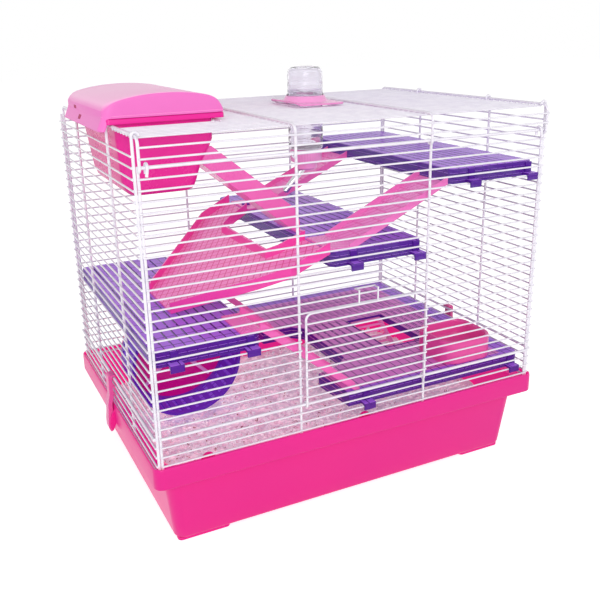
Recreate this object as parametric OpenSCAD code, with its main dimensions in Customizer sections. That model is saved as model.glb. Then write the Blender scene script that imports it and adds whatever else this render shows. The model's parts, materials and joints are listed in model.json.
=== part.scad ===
// Small animal cage: deep tray, welded wire top, shelves, ramps, nest box,
// wheel, bottle and bowl. Millimetres, +Z up, feet of the tray at z = 0,
// front panel towards -Y.

/* [Tray] */
// Height of the tray rim above the table
tray_h = 110; // [100:1:125]
// Height of the rim's outer skirt
rim_skirt_h = 24; // [18:1:30]
// Depth of the ledge that the wires stand on, below the rim's top edge
rim_lip_h = 7.8; // [6:0.2:10]
// How far the rim stands outside the corner wires
rim_overhang = 7.3; // [7.3:0.1:10]
// Plastic thickness of the tray
tray_t = 2.2; // [1.8:0.1:2.2]
// Step from the rim's outer face in to the tray body
body_step = 15; // [13:0.5:18]
// Draft of the body walls from the rim down to the floor
body_draft = 10; // [6:0.5:12]
// Height of the corner feet
foot_h = 2.5; // [1.5:0.5:3]
// Length of the corner feet along the front
foot_w = 50; // [35:1:60]

/* [Wire top] */
// Distance between the left and right corner wires
wire_w = 486; // [480:1:520]
// Distance between the front and back corner wires
wire_d = 345; // [340:1:365]
// Spacing of the level wires
bar_pitch = 10.63; // [10.4:0.01:10.8]
// Height of the first thin wire above the bottom bar
first_bar = 7.2; // [6:0.1:8]
// Distance from the top bar of the front panel up to the roof wires
apron_h = 28.8; // [26:0.2:32]
// Diameter of the thin wires
thin_d = 2; // [1.8:0.1:2.2]
// Diameter of the upright wires
main_d = 3; // [2.8:0.1:3.2]
// Diameter of the thick bars
thick_d = 3.4; // [3.2:0.1:3.6]
// Spacing of the roof wires
roof_pitch = 10.6; // [10.4:0.1:10.6]
// Place of the left upright of the front and back panels
upright_left = -79.5; // [-82:0.5:-78]
// Place of the right upright of the front and back panels
upright_right = 83.5; // [82:0.5:86]
// Place of the side panels' uprights either side of the middle
side_upright = 75; // [60:1:90]

/* [Front door] */
// Width of the door between its side wires
door_w = 154.5; // [150:0.5:156]
// Diameter of the door's frame wire
door_d = 2.6; // [2.4:0.1:2.8]
// Distance between the two legs of the catch
catch_w = 24; // [18:1:40]

/* [Shelves] */
// Height of a shelf's top over the wire that its clips hang on
shelf_h = 17.5; // [15:0.5:18]
// Thickness of the shelf plates
shelf_t = 2.2; // [1.8:0.1:2.6]
// Thickness of the shelf lips
lip_t = 2; // [1.6:0.1:2.4]
// Width of the upper shelf
upper_w = 119.5; // [110:0.5:124]
// Width of the middle shelf
middle_w = 116; // [108:0.5:122]
// Left edge of the middle shelf
middle_x = -37; // [-42:0.5:-34]
// Width of the lower shelf
lower_w = 116; // [108:0.5:120]
// Gap from the shelves and the platform to the corner wires at their side
shelf_side_gap = 4; // [3:0.5:8]
// Width of the platform at its front
platform_w = 254; // [246:1:256]
// Width of one clip
clip_w = 15; // [12:0.5:18]
// Width of one slot in the plates
slot_w = 3; // [2:0.1:4]
// Spacing of the slots
slot_pitch = 8; // [7:0.5:12]

/* [Ramps] */
// Thickness of the ramp floors
ramp_t = 2.4; // [2:0.1:3]
// Thickness of the ramp walls
ramp_wall = 2; // [1.6:0.1:2.4]
// Width of the ramps
ramp_w = 57; // [52:0.5:58]
// Height of the low walls of the shelf ramps
ramp_side_h = 9; // [6:0.5:12]
// Height of the tall walls of the nest ramp
nest_ramp_side_h = 30; // [20:1:30]
// Height of the walls of the fan ramp
fan_side_h = 12; // [8:0.5:14]

/* [Nest box] */
// Length of the nest box, front to back
nest_len = 180; // [170:1:186]
// Width of the nest box over its rim
nest_w = 128; // [122:0.5:128]
// Depth of the tub below its rim
nest_depth = 76; // [66:1:80]
// Plastic thickness of the tub
nest_t = 2; // [1.6:0.1:2.4]
// Plastic thickness of the lid
lid_t = 2.2; // [1.8:0.1:2.6]
// Height of the lid's arch over the rim
lid_rise = 23; // [18:0.5:26]

/* [Wheel] */
// Outer diameter of the wheel
wheel_d = 140; // [120:1:142]
// Width of the wheel's running surface
wheel_w = 54; // [40:1:60]
// Thickness of the wheel's running surface
tread_t = 4; // [3:0.5:5]
// Thickness of the wheel's back disc
disc_t = 3; // [2:0.5:4]
// Diameter of the wheel's axle
axle_d = 8; // [6:0.5:9]
// Number of slots round the wheel
wheel_slots = 36; // [24:2:40]

/* [Bottle] */
// Diameter of the bottle
bottle_d = 44; // [42:0.5:46]
// Length of the bottle above its cap
bottle_len = 100; // [90:1:110]
// Thickness of the bottle wall
bottle_wall = 1.2; // [1:0.1:1.6]
// Diameter of the cap
cap_d = 40; // [38:0.5:41]
// Diameter of the steel spout
spout_d = 8; // [7:0.5:9]
// Length of the steel spout
spout_len = 44; // [36:1:46]

/* [Bowl] */
// Width of the bowl
bowl_w = 73; // [66:1:74]
// Radius of the bowl's corners
bowl_corner = 20; // [14:1:30]
// Height of the bowl
bowl_h = 30; // [26:1:36]
// Thickness of the bowl's wall
bowl_t = 5; // [3:0.5:7]

/* [Side clips] */
// Width of a side clip
side_clip_w = 14; // [12:1:20]
// Thickness of a side clip
side_clip_t = 5; // [4.6:0.1:5]

/* [Bedding] */
// Depth of the bedding at the front over its depth at the back
bedding_rise = 22; // [10:1:24]
// Size of the humps in the bedding
bedding_hump = 2.2; // [1:0.1:2.4]

/* [Clearances] */
// Gap between pieces that rest on each other
seat = 0.3; // [0.25:0.05:0.35]
// Gap between a pin and its bore, on the radius
running = 0.06; // [0.04:0.01:0.09]

/* [Hidden] */
$fn = 48;
weld = 0.2;
half_w = wire_w / 2;
half_d = wire_d / 2;
thin_r = thin_d / 2;
main_r = main_d / 2;
thick_r = thick_d / 2;
// tray
rim_x = half_w + rim_overhang;
rim_y = half_d + rim_overhang;
rim_r = 10;
body_r = 16;
ledge_z = tray_h - rim_lip_h;
rim_low_z = tray_h - rim_skirt_h;
floor_r = 10;
tray_floor_z = foot_h + tray_t;
// wire planes
bottom_z = ledge_z + seat + main_r;
cross_gap = seat + main_r + main_r;
panel_y = half_d + 0.5;
bar_y = panel_y + main_r + thin_r - weld;
thick_y = panel_y + main_r + thick_r - weld;
foot_bar_y = panel_y + main_r + main_r - weld;
side_bar_x = half_w + main_r + thin_r - weld;
side_thick_x = half_w + main_r + thick_r - weld;
side_foot_x = half_w + main_r + main_r - weld;
end_x = half_w - cross_gap;
hinge_bar = 3;
door_bar = 13;
top_bar = 29;
top_z = bottom_z + first_bar + top_bar * bar_pitch;
roof_z = top_z + apron_h;
roof_thin_z = roof_z - main_r - thin_r + weld;
elbow_r = 8;
hook_r = thick_r + seat + main_r;
apron_y = thick_y + hook_r;
roof_front_y = -(apron_y - elbow_r);
roof_back_y = panel_y - elbow_r;
roof_first_y = roof_front_y + 4.5;
roof_bars = floor((roof_back_y - roof_first_y) / roof_pitch) + 1;
roof_end_x = end_x + main_r - 0.3;
// the roof's cross wires run beside the front panel's uprights
roof_xs = [-end_x, upright_left - cross_gap, upright_right - cross_gap, end_x];
// door
door_hook_r = thick_r + running + door_d / 2;
door_y = -(thick_y + door_hook_r);
door_x0 = upright_left + main_r + 2.2 + door_d / 2;
door_x1 = door_x0 + door_w;
hinge_z = bottom_z + first_bar + hinge_bar * bar_pitch;
// shelf levels, counted in wires above the first thin one
platform_bar = 1;
lower_bar = 10;
middle_bar = 17;
upper_bar = 24;
shelf_y = half_d - main_r - 3;
upper_x1 = half_w - shelf_side_gap - 5;
upper_x0 = upper_x1 - upper_w;
middle_x0 = middle_x;
middle_x1 = middle_x + middle_w;
lower_x0 = -half_w + shelf_side_gap;
lower_x1 = lower_x0 + lower_w;
platform_x1 = half_w - shelf_side_gap - 6;
platform_x0 = platform_x1 - platform_w;
upper_z = level(upper_bar);
middle_z = level(middle_bar);
lower_z = level(lower_bar);
platform_z = level(platform_bar);
hole_x0 = platform_x1 - 138;
hole_x1 = platform_x1 - 81;
hole_y0 = -75;
hole_y1 = 30;
notch_x = platform_x0 + 51;
notch_front = -86;
notch_back = 50;
ladder_x0 = hole_x0 + 6;
ladder_x1 = hole_x1 - 3;
// nest box
nest_y0 = -92;
nest_y1 = nest_y0 + nest_len;
nest_x0 = -half_w - 6.6;
nest_x1 = nest_x0 + nest_w;
flange_z0 = roof_z + main_r + seat;
flange_z1 = flange_z0 + 5.6;
tub_x0 = -end_x + main_r + 1.7;
tub_x1 = nest_x1 - 10;
tub_y0 = nest_y0 + 6;
tub_y1 = nest_y1 - 8;
tub_z0 = flange_z0 - nest_depth;
nest_hole_x = nest_x1 - 7.5;
flange_x0 = nest_x0 + 3;
lid_x0 = nest_x0 + 0.3;
lid_x1 = nest_x1 - 1.4;
lid_pin_x = nest_x1 + 2.5;
lid_pin_z = flange_z1 + 3;
lid_pin_r = 1.5;
knuckle_r = 3.4;
// ramps
nest_ramp_y0 = -79;
// wheel
wheel_r = wheel_d / 2;
wheel_x = lower_x1 - 32;
wheel_y = -12;
wheel_z = lower_z - shelf_h - 2.5 - wheel_r;
axle_r = axle_d / 2;
disc_y = wheel_y + wheel_w;
hub_r = 9;
bracket_y = disc_y + disc_t + 3;
// bottle
bottle_x = 27;
bottle_y = 15;
bottle_r = bottle_d / 2;
collar_z = roof_thin_z + thin_d - weld + thin_r + seat;
collar_h = 9;
cap_top_z = roof_z - 56;
cap_r = cap_d / 2;
spout_r = spout_d / 2;
neck_r = 14;
// bowl
bowl_x = platform_x1 - 73;
bowl_y = -shelf_y + 2 + bowl_w / 2;
// side clips
clip_pin_r = 1.5;
clip_pin_x = rim_x + 3.5;
clip_pin_z = rim_low_z - 2;
// bedding
bed_n = 26;
bed_m = 18;

// Sizes worked out from others.

// Height of a level wire, counted up from the first thin one.
function bar_z(n) = bottom_z + first_bar + n * bar_pitch;

// Height of a shelf's top when its clips hang on wire n.
function level(n) = bar_z(n) + shelf_h;

function unit(v) = v / norm(v);

function edge_normal(a, b) = let (d = unit(b - a)) [-d[1], d[0]];

// An outline drawn t further in; its points run anticlockwise.
function inset(p, t) = [for (i = [0 : len(p) - 1])
    let (a = p[(i + len(p) - 1) % len(p)],
         b = p[i],
         c = p[(i + 1) % len(p)],
         n1 = edge_normal(a, b),
         n2 = edge_normal(b, c))
    b + t * (n1 + n2) / (1 + n1 * n2)];

function arc_pts(cx, cz, r, a0, a1, n) =
    [for (i = [0 : n]) let (a = a0 + (a1 - a0) * i / n) [cx + r * cos(a), cz + r * sin(a)]];

// Shared shapes.

module round_plan(x, y, r) {
    square([2 * x, 2 * (y - r)], center = true);
    square([2 * (x - r), 2 * y], center = true);
    for (sx = [-1, 1])
        for (sy = [-1, 1])
            translate([sx * (x - r), sy * (y - r)]) circle(r);
}

module wire_x(x0, x1, y, z, r) {
    translate([x0, y, z]) rotate([0, 90, 0]) cylinder(h = x1 - x0, r = r, $fn = 16);
}

module wire_y(y0, y1, x, z, r) {
    translate([x, y1, z]) rotate([90, 0, 0]) cylinder(h = y1 - y0, r = r, $fn = 16);
}

module wire_z(z0, z1, x, y, r) {
    translate([x, y, z0]) cylinder(h = z1 - z0, r = r, $fn = 16);
}

// A bend of wire in the YZ plane about the X axis at (x, y, z).
module bend_x(x, y, z, bend, r, from, turn) {
    translate([x, y, z])
        rotate([90, 0, 90])
            rotate([0, 0, from])
                rotate_extrude(angle = turn, $fn = 32)
                    translate([bend, 0]) circle(r, $fn = 16);
}

// A bend of wire in the XZ plane about the Y axis at (x, y, z).
module bend_y(x, y, z, bend, r, from, turn) {
    translate([x, y, z])
        rotate([90, 0, 0])
            rotate([0, 0, from])
                rotate_extrude(angle = turn, $fn = 32)
                    translate([bend, 0]) circle(r, $fn = 16);
}

// A solid drawn in the XZ plane and drawn out along Y from y0 to y1.
module along_y(points, y0, y1) {
    translate([0, y1, 0]) rotate([90, 0, 0]) linear_extrude(y1 - y0) polygon(points);
}

// A solid drawn in the YZ plane and drawn out along X from x0 to x1.
module along_x(points, x0, x1) {
    translate([x0, 0, 0]) rotate([90, 0, 90]) linear_extrude(x1 - x0) polygon(points);
}

// Tray.

// The body's layers from the floor up: height, how far in, corner radius.
function body_layers(t) = [[foot_h + t, body_draft + floor_r * 0.8, body_r - 4],
    [foot_h + t + 2, body_draft + floor_r * 0.4, body_r - 3],
    [foot_h + t + 5, body_draft + floor_r * 0.14, body_r - 2],
    [foot_h + t + 10, body_draft - 0.8, body_r - 1], [rim_low_z, 0, body_r - t], [ledge_z, 0, body_r - t]];

// One layer of the body as points, its outside drawn t further in.
function layer_points(s, t) = let (
    x = rim_x - body_step - t - s[1],
    y = rim_y - body_step - t - s[1],
    r = s[2])
    [for (q = [0 : 3]) for (i = [0 : 6])
        let (a = q * 90 + i * 15, sx = q == 0 || q == 3 ? 1 : -1, sy = q < 2 ? 1 : -1)
        [sx * (x - r) + r * cos(a), sy * (y - r) + r * sin(a), s[0]]];

// The open tray body under the ledge, a drafted cup with rounded corners.
module tray_cup() {
    outer = body_layers(0);
    inner = body_layers(tray_t);
    m = len(outer);
    rings = concat([for (s = outer) layer_points(s, 0)],
        [for (i = [1 : m]) layer_points(inner[m - i], tray_t)]);
    n = len(rings[0]);
    last = (2 * m - 1) * n;
    polyhedron([for (ring = rings) for (p = ring) p], concat(
        [for (j = [0 : 2 * m - 2]) for (i = [0 : n - 1])
            [j * n + i, (j + 1) * n + i, (j + 1) * n + (i + 1) % n]],
        [for (j = [0 : 2 * m - 2]) for (i = [0 : n - 1])
            [j * n + i, (j + 1) * n + (i + 1) % n, j * n + (i + 1) % n]],
        [[for (i = [0 : n - 1]) i], [for (i = [1 : n]) last + n - i]]));
}

module clip_lug(side, y) {
    along = [[rim_x - 1, rim_low_z + 18], [rim_x, rim_low_z + 18], [rim_x + 6.7, rim_low_z + 4],
        [rim_x + 6.7, rim_low_z - 6], [rim_x + 1.6, rim_low_z - 6], [rim_x - 1, rim_low_z + 0.5]];
    mirror([side < 0 ? 1 : 0, 0, 0]) along_y(along, y - 1.2, y + 1.2);
}

module tray() {
    lug_y = side_clip_w / 2 + seat + 1.2;
    foot_x = rim_x - body_step - tray_t - body_draft - foot_w / 2 - 12;
    foot_y = rim_y - body_step - tray_t - body_draft - 16;
    color([0.91, 0.21, 0.55]) {
        tray_cup();
        difference() {
            translate([0, 0, rim_low_z]) linear_extrude(rim_skirt_h) round_plan(rim_x, rim_y, rim_r);
            translate([0, 0, rim_low_z - 1]) linear_extrude(ledge_z - tray_t - rim_low_z + 1)
                round_plan(rim_x - tray_t, rim_y - tray_t, rim_r - tray_t);
            translate([0, 0, ledge_z]) linear_extrude(rim_lip_h + 1)
                round_plan(rim_x - tray_t, rim_y - tray_t, rim_r - tray_t);
            translate([0, 0, rim_low_z]) linear_extrude(rim_skirt_h)
                round_plan(rim_x - body_step - tray_t / 2, rim_y - body_step - tray_t / 2,
                    body_r - tray_t / 2);
        }
        // low feet under the four corners
        for (x = [-foot_x, foot_x])
            for (y = [-foot_y, foot_y])
                difference() {
                    translate([x - foot_w / 2, y - 6, 0]) cube([foot_w, 12, foot_h + 1]);
                    translate([x - 5, y - 7, -1]) cube([10, 14, foot_h + 1]);
                }
        // tabs that keep the front wires on the ledge
        for (x = [-189, 4])
            translate([x, -(half_d - main_r - 2.2), ledge_z - 1]) rotate([90, 0, 0])
                linear_extrude(tray_t) {
                    translate([-8, 0]) square([16, 7]);
                    translate([-5, 0]) square([10, 10]);
                    translate([-5, 7]) circle(3);
                    translate([5, 7]) circle(3);
                }
        // lugs and pins that carry the two side clips
        for (side = [-1, 1]) {
            clip_lug(side, lug_y);
            clip_lug(side, -lug_y);
            wire_y(-lug_y, lug_y, side * clip_pin_x, clip_pin_z, clip_pin_r, $fn = 24);
        }
    }
}

// Bedding.

function bed_top(x, y) = let (
    f = max(0, min(1, (-y - 70) / 60)),
    g = max(0, min(1, (150 - x) / 90)))
    62 + bedding_rise * f * f * (3 - 2 * f) * g
        + bedding_hump * sin(x * 5.1 + y * 2.3) * cos(y * 6.3 - x * 1.7)
        + 0.5 * bedding_hump * sin(x * 11 - y * 9);

function bed_half(half, z) = half - body_step - tray_t - seat - 0.4
    - body_draft * (rim_low_z - z) / (rim_low_z - foot_h) - (z < tray_floor_z + 6 ? 9 : 0);

module bedding() {
    n = bed_n;
    m = bed_m;
    low_z = tray_floor_z;
    corner = 12;
    top = [for (j = [0 : m]) for (i = [0 : n])
        let (u = -1 + 2 * i / n,
             v = -1 + 2 * j / m,
             c = 1 - 0.07 * u * u * u * u * v * v * v * v,
             x = u * c * bed_half(rim_x, 60),
             y = v * c * bed_half(rim_y, 60))
        [x, y, bed_top(x, y)]];
    low = [for (j = [0 : m]) for (i = [0 : n])
        let (u = -1 + 2 * i / n,
             v = -1 + 2 * j / m,
             c = 1 - 0.07 * u * u * u * u * v * v * v * v)
        [u * c * bed_half(rim_x, low_z), v * c * bed_half(rim_y, low_z), low_z]];
    w = n + 1;
    all = (n + 1) * (m + 1);
    faces = concat(
        [for (j = [0 : m - 1]) for (i = [0 : n - 1]) [j * w + i, (j + 1) * w + i, (j + 1) * w + i + 1]],
        [for (j = [0 : m - 1]) for (i = [0 : n - 1]) [j * w + i, (j + 1) * w + i + 1, j * w + i + 1]],
        [for (i = [0 : n - 1]) [i, i + 1, all + i + 1]],
        [for (i = [0 : n - 1]) [i, all + i + 1, all + i]],
        [for (i = [0 : n - 1]) [m * w + i, all + m * w + i + 1, m * w + i + 1]],
        [for (i = [0 : n - 1]) [m * w + i, all + m * w + i, all + m * w + i + 1]],
        [for (j = [0 : m - 1]) [j * w, all + (j + 1) * w, (j + 1) * w]],
        [for (j = [0 : m - 1]) [j * w, all + j * w, all + (j + 1) * w]],
        [for (j = [0 : m - 1]) [j * w + n, (j + 1) * w + n, all + (j + 1) * w + n]],
        [for (j = [0 : m - 1]) [j * w + n, all + (j + 1) * w + n, all + j * w + n]],
        [concat([for (i = [0 : n]) all + i],
            [for (j = [1 : m]) all + j * w + n],
            [for (i = [1 : n]) all + m * w + n - i],
            [for (j = [1 : m - 1]) all + (m - j) * w])]);
    color([0.86, 0.74, 0.76]) polyhedron(concat(top, low), faces);
}

// Wire panels.

module front_grille() {
    color([0.95, 0.94, 0.96]) {
        for (x = [-end_x, end_x])
            wire_z(bottom_z - main_r, top_z + 1, x, -panel_y, main_r);
        wire_z(bottom_z, top_z + 1, upright_left, -panel_y, main_r);
        wire_z(bottom_z, top_z + 1, upright_right, -panel_y, main_r);
        for (n = [0 : top_bar - 1])
            if (n != hinge_bar)
                if (n > hinge_bar && n < door_bar) {
                    wire_x(-end_x - 1, upright_left + 1.2, -bar_y, bar_z(n), thin_r);
                    wire_x(upright_right - 1.2, end_x + 1, -bar_y, bar_z(n), thin_r);
                }
                else
                    wire_x(-end_x - 1, end_x + 1, -bar_y, bar_z(n), thin_r);
        wire_x(-end_x, end_x, -foot_bar_y, bottom_z, main_r);
        wire_x(-end_x - 0.5, end_x + 0.5, -thick_y, hinge_z, thick_r);
        wire_x(-end_x - 0.5, end_x + 0.5, -thick_y, top_z, thick_r);
    }
}

module back_grille() {
    color([0.93, 0.92, 0.95]) {
        for (x = roof_xs) {
            wire_z(bottom_z, roof_z - elbow_r, x, panel_y, main_r);
            bend_x(x, roof_back_y, roof_z - elbow_r, elbow_r, main_r, 0, 90);
        }
        for (n = [0 : top_bar + 1])
            wire_x(-end_x - 1, end_x + 1, bar_y, bar_z(n), thin_r);
        wire_x(-end_x, end_x, foot_bar_y, bottom_z, main_r);
    }
}

module side_panel(hooked) {
    // drawn for the right side; the left one is its mirror
    for (y = [-half_d, half_d])
        wire_z(bottom_z, roof_z - elbow_r - 1, half_w, y, main_r);
    for (y = [-side_upright, side_upright])
        if (hooked) {
            wire_z(bottom_z, roof_z, half_w, y, main_r);
            bend_y(half_w - cross_gap, y, roof_z, cross_gap, main_r, 0, 215);
        }
        else
            wire_z(bottom_z, roof_z - main_r, half_w, y, main_r);
    for (n = [0 : top_bar + 1])
        if (n != hinge_bar)
            wire_y(-half_d - 1.3, half_d + 1.3, side_bar_x, bar_z(n), thin_r);
    wire_y(-half_d - 1.3, half_d + 1.3, side_thick_x, hinge_z, thick_r);
    wire_y(-half_d, half_d, side_foot_x, bottom_z, main_r);
}

module left_grille() {
    color([0.95, 0.94, 0.96]) mirror([1, 0, 0]) side_panel(false);
}

module right_grille() {
    color([0.93, 0.92, 0.95]) side_panel(true);
}

module roof_grille() {
    open_y0 = tub_y0 - 2.5;
    open_y1 = tub_y1 + 2.5;
    bottle_x0 = bottle_x - bottle_r - 3;
    bottle_x1 = bottle_x + bottle_r + 3;
    color([0.95, 0.94, 0.96]) {
        for (x = roof_xs)
            wire_y(roof_front_y, roof_back_y, x, roof_z, main_r);
        for (k = [0 : roof_bars - 1]) {
            y = roof_first_y + k * roof_pitch;
            by_nest = y > open_y0 && y < open_y1;
            by_bottle = abs(y - bottle_y) < bottle_r + 3;
            start = by_nest ? nest_hole_x : -roof_end_x;
            if (by_bottle) {
                wire_x(start, bottle_x0, y, roof_thin_z, thin_r);
                wire_x(bottle_x1, roof_end_x, y, roof_thin_z, thin_r);
            }
            else
                wire_x(start, roof_end_x, y, roof_thin_z, thin_r);
        }
        // wires along the edges of the two openings
        wire_y(open_y0 - roof_pitch, open_y1 + roof_pitch, nest_hole_x, roof_thin_z + thin_d - weld, thin_r);
        reach = bottle_r + roof_pitch + 3;
        for (x = [bottle_x0, bottle_x1])
            wire_y(bottle_y - reach, bottle_y + reach, x, roof_thin_z + thin_d - weld, thin_r);
    }
}

module roof_hooks() {
    color([0.95, 0.94, 0.96]) {
        for (x = roof_xs) {
            bend_x(x, roof_front_y, roof_z - elbow_r, elbow_r, main_r, 90, 90);
            wire_z(top_z, roof_z - elbow_r, x, -apron_y, main_r);
            // the corner hooks stop short of the panel's end wires
            bend_x(x, -thick_y, top_z, hook_r, main_r, 180, abs(x) == end_x ? 75 : 200);
        }
        for (dz = [0.3, 0.66])
            wire_x(-end_x - 1, end_x + 1, -apron_y - main_r - thin_r + weld, top_z + apron_h * dz, thin_r);
    }
}

// Front door.

module door_grille() {
    top = bar_z(door_bar);
    corner = 7;
    r = door_d / 2;
    color([0.96, 0.95, 0.97]) {
        for (x = [door_x0, door_x1]) {
            wire_z(hinge_z, top - corner, x, door_y, r);
            // curl round the thick bar
            bend_x(x, -thick_y, hinge_z, door_hook_r, r, 180, 290);
        }
        translate([door_x0 + corner, door_y, top - corner]) rotate([90, 0, 0]) rotate([0, 0, 90])
            rotate_extrude(angle = 90, $fn = 32) translate([corner, 0]) circle(r, $fn = 16);
        translate([door_x1 - corner, door_y, top - corner]) rotate([90, 0, 0])
            rotate_extrude(angle = 90, $fn = 32) translate([corner, 0]) circle(r, $fn = 16);
        wire_x(door_x0 + corner, door_x1 - corner, door_y, top, r);
        for (n = [hinge_bar + 1 : door_bar - 1])
            wire_x(door_x0 - 1, door_x1 + 1, door_y - r - thin_r + weld, bar_z(n), thin_r);
    }
}

module door_catch() {
    mid = (door_x0 + door_x1) / 2;
    low = bar_z(door_bar);
    high = bar_z(door_bar + 1) + thin_r + 4;
    y = door_y;
    back = -panel_y + 2;
    color([0.92, 0.91, 0.94]) {
        for (x = [mid - catch_w / 2, mid + catch_w / 2]) {
            wire_z(low + door_d / 2, high + 0.6, x, y, thin_r);
            wire_y(y - 0.6, back, x, high, thin_r);
        }
        wire_x(mid - catch_w / 2 - thin_r, mid + catch_w / 2 + thin_r, back, high, thin_r);
    }
}

// Shelves.

// The hook that holds a shelf on wire n of a panel; drawn for the front.
module wire_clip(x0, n, lip) {
    z = bar_z(n);
    over = z + thin_r + seat;
    leg_y = bar_y + thin_r + seat;
    w = clip_w;
    along_x([[-lip + lip_t, over], [-leg_y, over], [-leg_y, z - 3.6], [-leg_y - 1.2, z - 4.4],
        [-leg_y - 2, z - 3.6], [-leg_y - 2, over + 3], [-lip + lip_t, over + 3]], x0, x0 + w);
    translate([x0 + w * 0.2, -lip - 1.6, over + 1]) cube([w * 0.6, 2, shelf_h - 3.5]);
}

module slots(x0, x1, y0, y1, z, rows) {
    cols = floor((x1 - x0) / slot_pitch);
    step = (y1 - y0) / rows;
    for (i = [0 : cols])
        for (j = [0 : rows - 1])
            translate([x0 + i * slot_pitch, y0 + j * step, z - shelf_t - 1])
                cube([slot_w, step - 5, shelf_t + 2]);
}

module plate(points, n) {
    top = level(n);
    difference() {
        translate([0, 0, top - shelf_h]) linear_extrude(shelf_h) polygon(points);
        translate([0, 0, top - shelf_h - 1]) linear_extrude(shelf_h - shelf_t + 1)
            polygon(inset(points, lip_t));
    }
}

module shelf(x0, x1, n, clips, margin_left, margin_right) {
    c = 5;
    y = shelf_y;
    points = [[x0 + c, -y], [x1 - c, -y], [x1, -y + c], [x1, y - c],
        [x1 - c, y], [x0 + c, y], [x0, y - c], [x0, -y + c]];
    difference() {
        plate(points, n);
        slots(x0 + margin_left, x1 - margin_right - slot_w, -y + 18, y - 13, level(n), 6);
    }
    for (x = clips) {
        wire_clip(x, n, y);
        mirror([0, 1, 0]) wire_clip(x, n, y);
    }
}

module upper_shelf() {
    color([0.45, 0.28, 0.72])
        shelf(upper_x0, upper_x1, upper_bar, [upper_x0 + 21.5, upper_x1 - clip_w], 12, 24);
}

module middle_shelf() {
    color([0.45, 0.28, 0.72])
        shelf(middle_x0, middle_x1, middle_bar, [middle_x0 + 19, middle_x1 - clip_w - 1], 30, 14);
}

module lower_shelf() {
    color([0.45, 0.28, 0.72])
        shelf(lower_x0, lower_x1, lower_bar, [lower_x0 + 14, lower_x1 - clip_w - 4], 12, 14);
}

module platform() {
    y = shelf_y;
    c = 5;
    z = level(platform_bar);
    points = [[platform_x0 + c, -y], [platform_x1 - c, -y], [platform_x1, -y + c], [platform_x1, y - c],
        [platform_x1 - c, y], [platform_x0 - 5, y], [platform_x0 - 5, notch_back],
        [notch_x - 12, notch_back], [notch_x, notch_back - 12], [notch_x, notch_front + 10],
        [notch_x - 18, notch_front - 8], [platform_x0, notch_front - 18]];
    color([0.45, 0.28, 0.72]) {
        difference() {
            plate(points, platform_bar);
            translate([hole_x0, hole_y0, z - 50]) cube([hole_x1 - hole_x0, hole_y1 - hole_y0, 100]);
            slots(notch_x + 6, hole_x0 - 10, notch_front + 14, notch_back - 10, z, 3);
            slots(notch_x + 4, platform_x1 - 34, notch_back + 12, y - 24, z, 2);
            slots(hole_x1 + 10, platform_x1 - 14, hole_y0 + 8, hole_y1 + 10, z, 3);
        }
        // lip round the hole
        difference() {
            translate([hole_x0 - lip_t, hole_y0 - lip_t, z - 8])
                cube([hole_x1 - hole_x0 + 2 * lip_t, hole_y1 - hole_y0 + 2 * lip_t, 9]);
            translate([hole_x0, hole_y0, z - 9]) cube([hole_x1 - hole_x0, hole_y1 - hole_y0, 20]);
        }
        for (x = [platform_x0 + 20.5, platform_x1 - clip_w - 6]) {
            wire_clip(x, platform_bar, y);
            mirror([0, 1, 0]) wire_clip(x, platform_bar, y);
        }
    }
}

module platform_ladder() {
    y0 = hole_y1 - seat;
    z0 = platform_z - 2;
    run = 86;
    drop = platform_z - 76;
    t = 2.6;
    points = [[y0, z0], [y0, z0 - 7], [y0 - 3, z0 - 7], [y0 - run, z0 - drop],
        [y0 - run - 2, z0 - drop + 3], [y0 - 6, z0]];
    color([0.95, 0.66, 0.80]) {
        for (x = [ladder_x0, ladder_x1 - 3])
            along_x(points, x, x + 3);
        for (i = [0 : 9]) {
            f = (i + 0.5) / 10;
            translate([ladder_x0, y0 - 8 - f * (run - 12), z0 - 5 - f * (drop - 7)])
                cube([ladder_x1 - ladder_x0, 3, t]);
        }
        along_x([[y0, z0], [y0, z0 - t], [y0 - 6, z0 - t], [y0 - 6, z0]], ladder_x0, ladder_x1);
    }
}

// Ramps.

// A ramp between two shelves, higher at x0; it lies on the lower one with a flat foot.
module ramp(x0, z0, x1, z1, y0, w, head, foot, side) {
    toe = x1 > x0 ? foot : -foot;
    top = x1 > x0 ? -head : head;
    floor_pts = [[x0 + top, z0 + ramp_t], [x0 + top, z0], [x0, z0], [x1, z1], [x1 + toe, z1],
        [x1 + toe, z1 + ramp_t], [x1, z1 + ramp_t], [x0, z0 + ramp_t]];
    wall_pts = [[x0, z0], [x1, z1], [x1 + toe * 0.25, z1], [x1 + toe * 0.25, z1 + side * 0.45],
        [x1, z1 + side], [x0, z0 + side]];
    along_y(floor_pts, y0, y0 + w);
    for (y = [y0, y0 + w - ramp_wall])
        along_y(wall_pts, y, y + ramp_wall);
    // foot holds across the floor
    n = floor(abs(x1 - x0) / 12);
    for (i = [1 : n - 1]) {
        x = x0 + (x1 - x0) * i / n;
        z = z0 + (z1 - z0) * i / n + ramp_t;
        along_y([[x - 0.8, z - 1.6], [x + 0.8, z - 1.6], [x + 0.8, z + 0.9], [x - 0.8, z + 0.9]],
            y0 + 1, y0 + w - 1);
    }
}

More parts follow.
